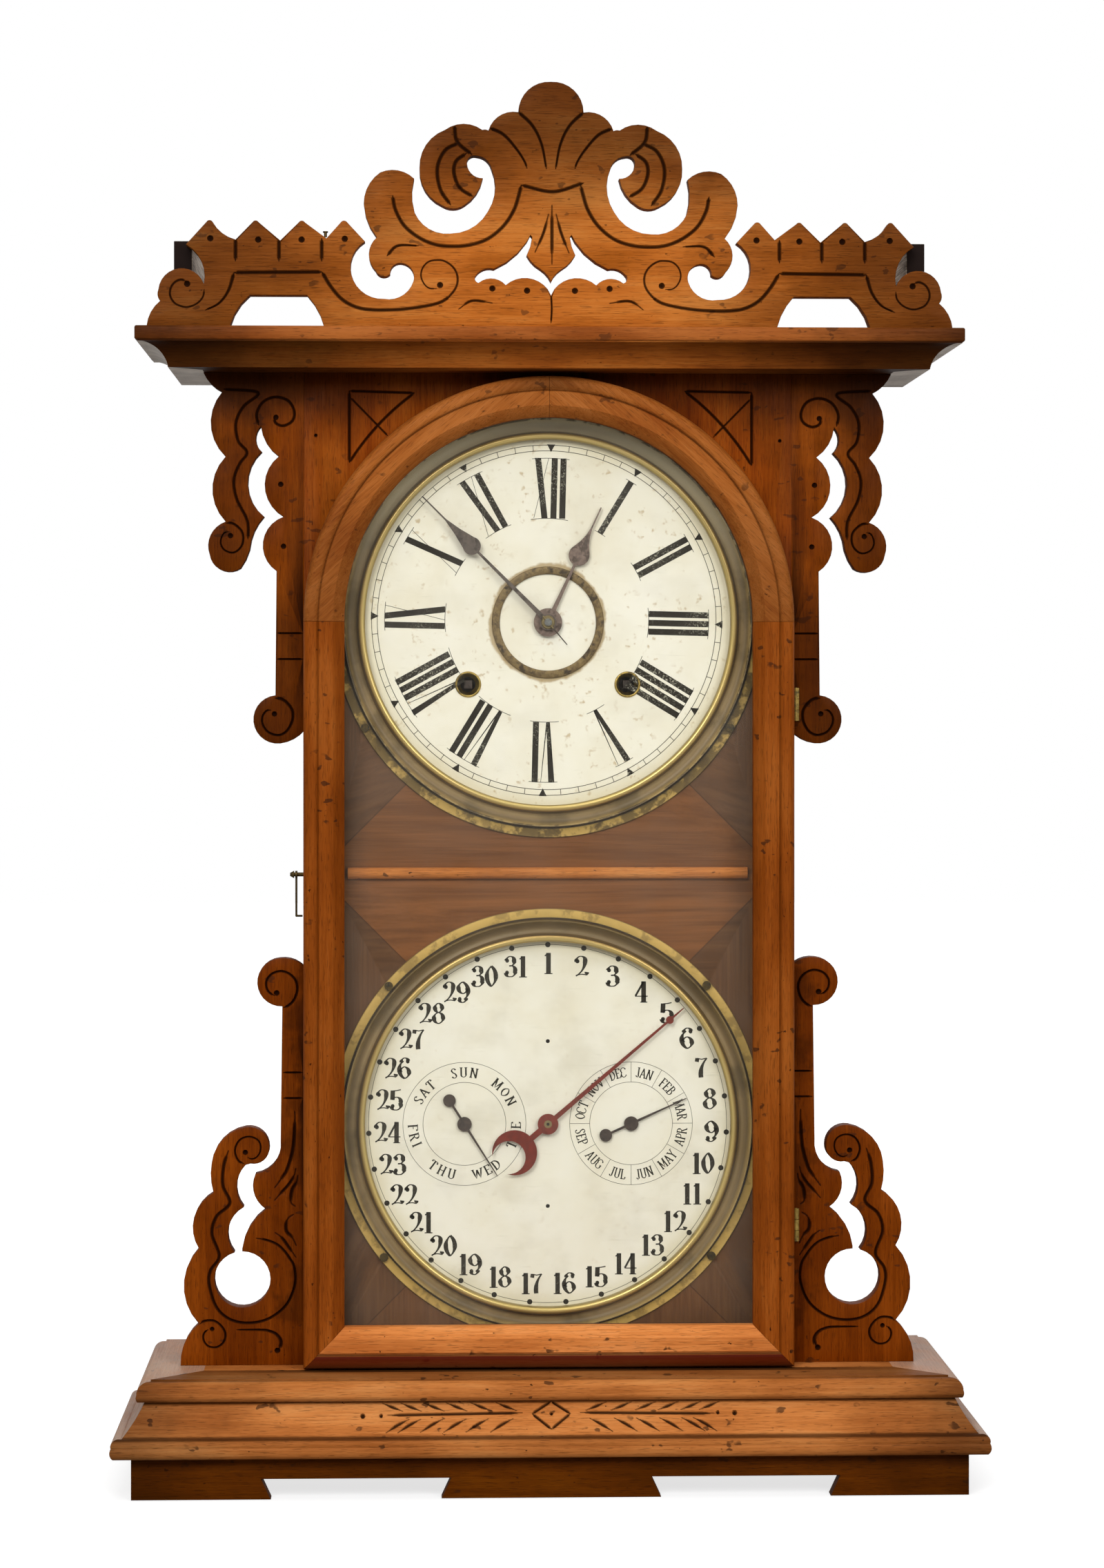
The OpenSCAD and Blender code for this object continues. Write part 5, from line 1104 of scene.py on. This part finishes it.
def ribbon(points, widths, place):
    """A flat ribbon of ink: each point of the line has one point each side of it, half a width away."""
    points = np.array(points, float)
    ahead = np.gradient(points, axis=0)
    ahead /= np.linalg.norm(ahead, axis=1)[:, None]
    half = np.broadcast_to(widths, len(points))[:, None] / 2
    side = np.column_stack([-ahead[:, 1], ahead[:, 0]]) * half
    n = len(points)
    k = np.arange(n - 1)
    return place(np.vstack([points + side, points - side])), [np.column_stack([k + n, k + n + 1, k + 1, k])]


def shape(corners, place):
    """A flat shape with straight sides, corners given anticlockwise."""
    return place(np.array(corners, float)), [np.arange(len(corners))[None]]


def spot(x, z, radius, place, corners=28):
    """A round dot of ink."""
    t = np.linspace(0, math.tau, corners, endpoint=False)
    return shape(np.column_stack([x + radius * np.cos(t), z + radius * np.sin(t)]), place)


def circle_line(radius, width, place, count=180):
    """A thin ring of ink."""
    t = np.linspace(0, math.tau, count, endpoint=False)
    ring = np.column_stack([np.cos(t), np.sin(t)])
    points = place(np.vstack([ring * (radius - width / 2), ring * (radius + width / 2)]))
    k = np.arange(count)
    n = (k + 1) % count
    return points, [np.column_stack([k, k + count, n + count, n])]


def turned(x, z, degrees):
    """Points turned clockwise about the origin."""
    a = math.radians(degrees)
    return x * math.cos(a) + z * math.sin(a), z * math.cos(a) - x * math.sin(a)


def placer(centre_x, centre_z, turn=0.0, shift=(0.0, 0.0), centre_turn=0.0):
    """Puts flat points on a dial: shifted, turned clockwise by degrees, then set about the centre."""
    def place(flat):
        x, z = turned(flat[:, 0], flat[:, 1], turn)
        x, z = turned(x + shift[0], z + shift[1], centre_turn)
        return np.column_stack([centre_x + x, np.full(len(x), INK_Y), centre_z + z])
    return place


def print_on(name, inks, material):
    """Joins flat ink pieces into one object."""
    flat = join([(points, blocks, points, np.zeros(len(points))) for points, blocks in inks])
    build(name, flat, material, replaces=False)


# Letters and figures as pen strokes, in hundredths of their height from the foot: first the width,
# then strokes of points and arcs as in path(). STEM is the upright at the left of many letters.
STEM = [(14, 98), (14, 2)]
GLYPHS = {
    "0": (62, [(31, 97), (9, 50, 31, 3), (53, 50, 31, 97)]),
    "1": (44, [(25, 98), (25, 2)], [(8, 84), (25, 95)], [(6, 1.5), (44, 1.5)]),
    "2": (64, [(13, 72), (30, 97, 52, 74), (44, 42, 9, 5)], [(9, 7), (30, 13, 58, 10), (60, 24)]),
    "3": (62, [(12, 78), (30, 97, 48, 76), (42, 57, 24, 53)],
          [(24, 53), (50, 45, 53, 26), (44, 6, 30, 3), (16, 6, 10, 20)]),
    "4": (66, [(43, 97), (5, 30)], [(3, 29), (62, 29)], [(43, 98), (43, 2)], [(27, 1.5), (60, 1.5)]),
    "5": (62, [(15, 93), (13, 50)], [(14, 91), (34, 93), (54, 97)],
          [(13, 50), (36, 62, 52, 33), (46, 8, 28, 3), (15, 7, 10, 20)]),
    "6": (64, [(50, 84), (36, 98, 20, 78), (8, 40, 33, 3)],
          [(33, 3), (55, 30, 33, 57), (20, 50, 13, 34)]),
    "7": (58, [(7, 76), (10, 93)], [(8, 92), (30, 88), (54, 93)], [(54, 93), (30, 50, 27, 3)]),
    "8": (62, [(31, 97), (14, 76, 31, 54), (48, 76, 31, 97)],
          [(31, 54), (9, 28, 31, 3), (53, 28, 31, 54)]),
    "9": (64, [(14, 16), (28, 2, 44, 22), (56, 60, 31, 97)],
          [(31, 97), (9, 70, 31, 43), (44, 50, 51, 66)]),
    "A": (72, [(36, 98), (8, 2)], [(34, 98), (62, 2)], [(19, 33), (50, 33)]),
    "B": (66, STEM, [(14, 98), (30, 98), (50, 75, 30, 53), (14, 53)],
          [(30, 53), (56, 28, 30, 2), (14, 2)]),
    "C": (68, [(58, 78), (36, 98, 10, 50), (36, 2, 60, 24)]),
    "D": (72, STEM, [(14, 98), (30, 98), (62, 50, 30, 2), (14, 2)]),
    "E": (64, STEM, [(14, 97), (56, 97), (56, 80)], [(14, 52), (44, 52)], [(14, 3), (56, 3), (58, 22)]),
    "F": (60, STEM, [(14, 97), (56, 97), (56, 80)], [(14, 52), (44, 52)], [(5, 2), (28, 2)]),
    "G": (72, [(58, 78), (36, 98, 10, 50), (36, 2, 58, 16), (58, 42)], [(44, 43), (68, 43)]),
    "H": (78, [(16, 98), (16, 2)], [(62, 98), (62, 2)], [(16, 51), (62, 51)]),
    "I": (34, [(17, 98), (17, 2)]),
    "J": (50, [(34, 98), (34, 20), (24, 2, 10, 16)]),
    "L": (60, STEM, [(14, 3), (54, 3), (56, 24)]),
    "M": (90, [(14, 2), (15, 98)], [(15, 98), (45, 6), (75, 98)], [(75, 98), (76, 2)]),
    "N": (78, [(15, 2), (15, 98)], [(15, 98), (63, 2)], [(63, 2), (63, 98)]),
    "O": (74, [(37, 98), (9, 50, 37, 2), (65, 50, 37, 98)]),
    "P": (62, STEM, [(14, 98), (30, 98), (54, 73, 30, 48), (14, 48)]),
    "R": (70, STEM, [(14, 98), (30, 98), (52, 75, 30, 52), (14, 52)], [(32, 52), (60, 2)]),
    "S": (60, [(48, 80), (30, 98, 13, 76), (20, 60), (42, 42), (48, 24), (32, 2, 10, 20)]),
    "T": (68, [(34, 98), (34, 2)], [(7, 78), (8, 97), (60, 97), (61, 78)]),
    "U": (74, [(15, 98), (15, 30), (37, 2, 60, 30), (60, 98)]),
    "V": (70, [(8, 98), (35, 2)], [(35, 2), (62, 98)]),
    "W": (96, [(7, 98), (28, 2), (48, 90)], [(48, 90), (68, 2), (90, 98)]),
    "Y": (70, [(8, 98), (35, 50), (35, 2)], [(35, 50), (62, 98)]),
}
# Round ends of strokes (x, z, radius), and the middles of serifs
BALL_SIZE, SERIF_REACH = 1.15, 0.13
BALLS = {"2": [(16, 74, 8.5)], "3": [(15, 77, 8), (14, 22, 8)], "5": [(14, 21, 8)], "6": [(49, 81, 7.5)],
         "9": [(15, 19, 7.5)]}
SERIFS = {"A": [(8, 2), (62, 2)], "B": [(14, 2), (14, 98)], "D": [(14, 2), (14, 98)],
          "E": [(14, 2), (14, 98)], "F": [(14, 98)], "H": [(16, 2), (16, 98), (62, 2), (62, 98)],
          "I": [(17, 2), (17, 98)], "J": [(34, 98)], "L": [(14, 2), (14, 98)],
          "M": [(14, 2), (14, 98), (76, 2), (76, 98)], "N": [(15, 2), (15, 98), (63, 98)],
          "P": [(14, 2), (14, 98)], "R": [(14, 2), (14, 98), (62, 2)], "T": [(34, 2)],
          "U": [(15, 98), (60, 98)], "V": [(8, 98), (62, 98)], "W": [(7, 98), (90, 98)],
          "Y": [(8, 98), (62, 98), (35, 2)]}


def write(word, height, thick, thin, squeeze, place, gap=0.08):
    """A word as pen strokes, centred on its place. The pen is broad across an upright stroke and thin
    across a level one or one that leans like a slash."""
    total_w = sum(GLYPHS[c][0] for c in word) / 100 + gap * (len(word) - 1)
    x0, pieces = -total_w / 2, []
    for letter in word:
        width, *strokes = GLYPHS[letter]

        def put(flat, x0=x0):
            return place(np.column_stack([(flat[:, 0] + x0) * height * squeeze, (flat[:, 1] - 0.5) * height]))

        for start, *moves in strokes:
            points = np.array(path(start, moves, 9)) / 100
            fine = [a + (b - a) * t for a, b in zip(points, points[1:]) for t in (0.5, 1.0)]
            points = np.vstack([points[:1], *fine])
            across, up = np.gradient(points, axis=0).T
            steep = np.abs(up) / np.hypot(across, up)
            lean = np.maximum(across * up / (across ** 2 + up ** 2) - 0.1, 0)
            pieces.append(ribbon(points, thin + (thick - thin) * steep ** 2.2 * (1 - 1.9 * lean), put))
        for x, z, r in BALLS.get(letter, ()):
            pieces.append(spot(x / 100, z / 100, BALL_SIZE * r / 100, put))
        for x, z in SERIFS.get(letter, ()):
            pieces.append(ribbon([(x / 100 - SERIF_REACH, z / 100), (x / 100 + SERIF_REACH, z / 100)],
                                 thin, put))
        x0 += width / 100 + gap
    return pieces


NUMERALS = ("XII", "I", "II", "III", "IIII", "V", "VI", "VII", "VIII", "IX", "X", "XI")
STROKE_W, STROKE_GAP, CROSS_W, HAIR_W = 3.3, 1.5, 7.6, 0.26
IN_R, OUT_R, SERIF_OVER, SERIF_W = 55.4, 88.1, 1.6, 0.3


def numeral(word, place):
    """A roman numeral between two radii: solid upright bars, and V and X from one solid and one thin
    leg, with hairline serifs that run past them."""
    widths = [STROKE_W if c == "I" else CROSS_W for c in word]
    whole = sum(widths) + STROKE_GAP * (len(word) - 1)
    x, legs = -whole / 2, []
    for c, w in zip(word, widths):
        end = x + w
        if c == "I":
            legs.append((x, end, x, end))
        elif c == "V":
            foot = x + w * 0.62
            legs += [(foot - 1.5, foot + 0.5, x, x + STROKE_W), (foot - 0.2, foot + 0.5, end - HAIR_W, end)]
        else:
            legs += [(end - STROKE_W, end, x, x + STROKE_W), (x, x + HAIR_W, end - HAIR_W, end)]
        x = end + STROKE_GAP
    pieces = [shape([(a, IN_R), (b, IN_R), (d, OUT_R), (c, OUT_R)], place) for a, b, c, d in legs]
    for r in (OUT_R, IN_R):
        reach = (whole / 2 + SERIF_OVER) / r
        bow = [(r * math.sin(a), r * math.cos(a)) for a in np.linspace(-reach, reach, 9)]
        pieces.append(ribbon(bow, SERIF_W, place))
    return pieces


# The minute track's radii and line, and the twist and offset of the print on its plate
TRACK_R, TRACK_W = (92.1, 95.2), 0.34
TWIST, PRINT_X, PRINT_Z = 1.4, -0.5, TIME_Z + 1.2


def print_time_dial():
    """Hour numerals, minute track and hour wedges."""
    black = []
    for hour, word in enumerate(NUMERALS):
        at = placer(PRINT_X, PRINT_Z, TWIST + hour * 30)
        black += numeral(word, at)
        black.append(shape([(-2.2, 95.6), (0, 91.4), (2.2, 95.6)], at))
    at = placer(PRINT_X, PRINT_Z, TWIST)
    grey = [circle_line(radius, TRACK_W, at) for radius in TRACK_R]
    for minute in range(60):
        at = placer(PRINT_X, PRINT_Z, TWIST + minute * 6)
        grey.append(ribbon([(0, radius) for radius in TRACK_R], TRACK_W, at))
    print_on("time_dial_print", black, BLACK_INK)
    print_on("time_dial_hairlines", grey, FINE_INK)


# Radii on the calendar dial: its dots, its dates, and how far dates of one figure stand out sideways.
# Then those on a small dial: the lines each side of its words and the middle of the words.
DOT_R, DATE_R, NARROW_R = 97.3, 87.2, 89.2
SUB_RS, WORD_R = (33.4, 22.5), 28.0
DAYS = ("SUN", "MON", "TUE", "WED", "THU", "FRI", "SAT")
MONTHS = ("JAN", "FEB", "MAR", "APR", "MAY", "JUN", "JUL", "AUG", "SEP", "OCT", "NOV", "DEC")


def print_calendar_dial():
    """Dates with their dots, and the rings of days and months."""
    black, grey = [], [circle_line(DOT_R, 0.25, placer(0, CAL_Z))]
    for date in range(1, 32):
        turn = (date - 1) * 360 / 31
        angle = math.radians(turn)
        black.append(spot(0, DOT_R, 1.45, placer(0, CAL_Z, turn)))
        aside, squeeze = (NARROW_R, 1.0) if date < 10 else (DATE_R, 0.95)
        where = placer(aside * math.sin(angle), CAL_Z + DATE_R * math.cos(angle))
        black += write(str(date), 11.7, 0.22, 0.045, squeeze, where, gap=0.05)
    for x in (-SUB_X, SUB_X):
        grey += [circle_line(radius, 0.22, placer(x, CAL_Z)) for radius in SUB_RS]
    for k, day in enumerate(DAYS):
        turn = k * 360 / 7
        black += ring_word(day, -SUB_X, turn, 90 < (turn + 1) % 360 < 270, 0.24, 1.08)
    for k, month in enumerate(MONTHS):
        turn = 15 + k * 30
        black += ring_word(month, SUB_X, turn, 2 < k < 9, 0.04, 0.86)
        grey.append(ribbon([(0, radius) for radius in SUB_RS[::-1]], 0.22, placer(SUB_X, CAL_Z, turn - 15)))
    print_on("calendar_dial_print", black, SHARP_INK)
    print_on("calendar_dial_hairlines", grey, FINE_INK)


def ring_word(word, centre_x, turn, inward, gap, squeeze, height=5.3):
    """A short word bent round a small dial, one letter at a time, its foot inward or outward."""
    widths = [GLYPHS[c][0] / 100 + gap for c in word]
    sign = -1 if inward else 1
    at, pieces = -sum(widths) / 2, []
    for c, w in zip(word, widths):
        bend = math.degrees((at + w / 2) * height * squeeze / WORD_R) * sign
        local = placer(centre_x, CAL_Z, 180 if inward else 0, (0, WORD_R), turn + bend)
        pieces += write(c, height, 0.155, 0.075, squeeze, local)
        at += w
    return pieces


# Finishes of the CAD nodes that stay

FINISHES = (
    (TIME_PAPER, "time_dial"),
    (CAL_PAPER, "calendar_dial"),
    (GLASS, "door_glass"),
    (DARK_SCREW, "bezel_screws", "latch_screw", "latch_hook"),
    (AGED_BRASS, "hinge_case_leaves", "hinge_door_leaves"),
    (PINNED_BRASS, "hand_collet"),
    (MINUTE_STEEL, "minute_hand"),
    (HOUR_STEEL, "hour_hand"),
    (SMALL_STEEL, "day_hand", "month_hand", "time_winding_arbor", "strike_winding_arbor"),
    (RED_PAINT, "date_hand"),
    (STRIP_PAINT, "glazing_strips"),
    (MOVEMENT_BRASS, "movement_plates", "movement_pillars", "calendar_plate", "motion_wheel",
     "hour_wheel", "time_great_wheel", "second_wheel", "centre_wheel", "third_wheel", "escape_wheel",
     "pendulum", "strike_great_wheel"),
    (DIM_STEEL, "mainsprings", "gong", "cannon_pinion", "verge", "hammer"),
)


def finish_cad():
    """Gives the CAD nodes their finishes."""
    for material, *names in FINISHES:
        for name in names:
            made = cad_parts[name]
            if not made.material_slots:
                made.data.materials.append(material)
            for slot in made.material_slots:
                slot.material = material


make_base()
make_case()
make_cornice()
make_sawn()
make_door()
make_brass()
print_time_dial()
print_calendar_dial()
finish_cad()


# Floor, background, lights and camera

WHITE = (1.0, 1.0, 1.0, 1.0)
WORLD_LIGHT = 0.32


def stage_plane(name, size, material, **where):
    """A square that belongs to the studio; sizes and places in metres."""
    bpy.ops.mesh.primitive_plane_add(size=size, **where)
    made = bpy.context.object
    made.name = name
    made.data.materials.append(material)


def make_floor():
    """A white floor that keeps a faint shadow: it gives off some light to the camera alone, more of
    it far off, where the lamps hardly reach."""
    material, tree = new_material("white floor")
    rays = add(tree, "LightPath").node.outputs
    matt = add(tree, "BsdfDiffuse", {"Color": (0.45, 0.45, 0.45, 1.0)})
    away = add(tree, "VectorMath", {0: object_mm(tree)}, 1, operation="LENGTH")
    level = share(tree, (away, 450.0, 1100.0, 0.73, 1.0))
    seen = add(tree, "Math", {0: rays["Is Camera Ray"], 1: level}, operation="MULTIPLY")
    glow = add(tree, "Emission", {"Color": WHITE, "Strength": seen})
    add(tree, "OutputMaterial", {0: add(tree, "AddShader", {0: matt, 1: glow})})
    stage_plane("floor", 12, material, location=(0, 0, -0.0002))


def make_world():
    """White to the camera and to mirrors and glass, an even dimmer light for the rest."""
    world = bpy.data.worlds.new("studio")
    bpy.context.scene.world = world
    world.use_nodes = True
    tree = world.node_tree
    tree.nodes.clear()
    rays = add(tree, "LightPath").node.outputs
    seen = total(tree, 0.0, *((rays[f"Is {kind} Ray"], 1.0) for kind in ("Camera", "Transmission", "Glossy")))
    strength = share(tree, (seen, 0.0, 1.0, WORLD_LIGHT, 1.0))
    add(tree, "OutputWorld", {0: add(tree, "Background", {"Color": WHITE, "Strength": strength})})


def make_dark_room():
    """The unlit room behind the camera, which flat polished faces mirror. The camera sees it white."""
    material, tree = new_material("dark room")
    dark = add(tree, "BsdfDiffuse", {"Color": (0.03, 0.03, 0.03, 1.0)})
    white = add(tree, "Emission", {"Color": WHITE})
    seen = add(tree, "LightPath", output="Is Camera Ray")
    add(tree, "OutputMaterial", {0: add(tree, "MixShader", {0: seen, 1: dark, 2: white})})
    stage_plane("dark_room", 7, material, location=(0, -3.6, 1.2), rotation=(math.radians(90), 0, 0))


def area_light(name, where, target, size, watts):
    """A soft square lamp that looks at the target; places in metres."""
    lamp = bpy.data.lights.new(name, "AREA")
    lamp.size = size
    lamp.energy = watts
    made = bpy.data.objects.new(name, lamp)
    made.location = where
    made.rotation_euler = (Vector(target) - Vector(where)).to_track_quat("-Z", "Y").to_euler()
    bpy.context.scene.collection.objects.link(made)


# The photo's height, and the focal length and the shift of its camera, in its own pixels
PHOTO_H, FOCAL, SHIFT = 2273, 5630, -119.5


def make_camera():
    """The photo's camera, in metres."""
    lens = bpy.data.cameras.new("camera")
    lens.sensor_fit = "VERTICAL"
    lens.sensor_height = 36
    lens.lens = lens.sensor_height * FOCAL / PHOTO_H
    lens.shift_y = SHIFT / PHOTO_H
    made = bpy.data.objects.new("camera", lens)
    made.location = (-0.0693, -2.115, 0.4206)
    made.rotation_euler = (math.radians(90), 0, math.radians(-1.943))
    bpy.context.scene.collection.objects.link(made)
    bpy.context.scene.camera = made


make_floor()
make_dark_room()
make_world()
area_light("key", (-0.8, -2.2, 1.5), (0, 0, 0.35), 1.1, 37)
area_light("fill", (1.1, -2.3, 1.3), (0, 0, 0.35), 1.1, 27)
area_light("top", (0.0, -0.7, 1.9), (0, 0, 0.3), 0.9, 7)
area_light("back", (0.3, 2.2, 1.6), (0, 0, 0.35), 1.2, 12)
make_camera()
bpy.context.scene.view_settings.view_transform = "Standard"
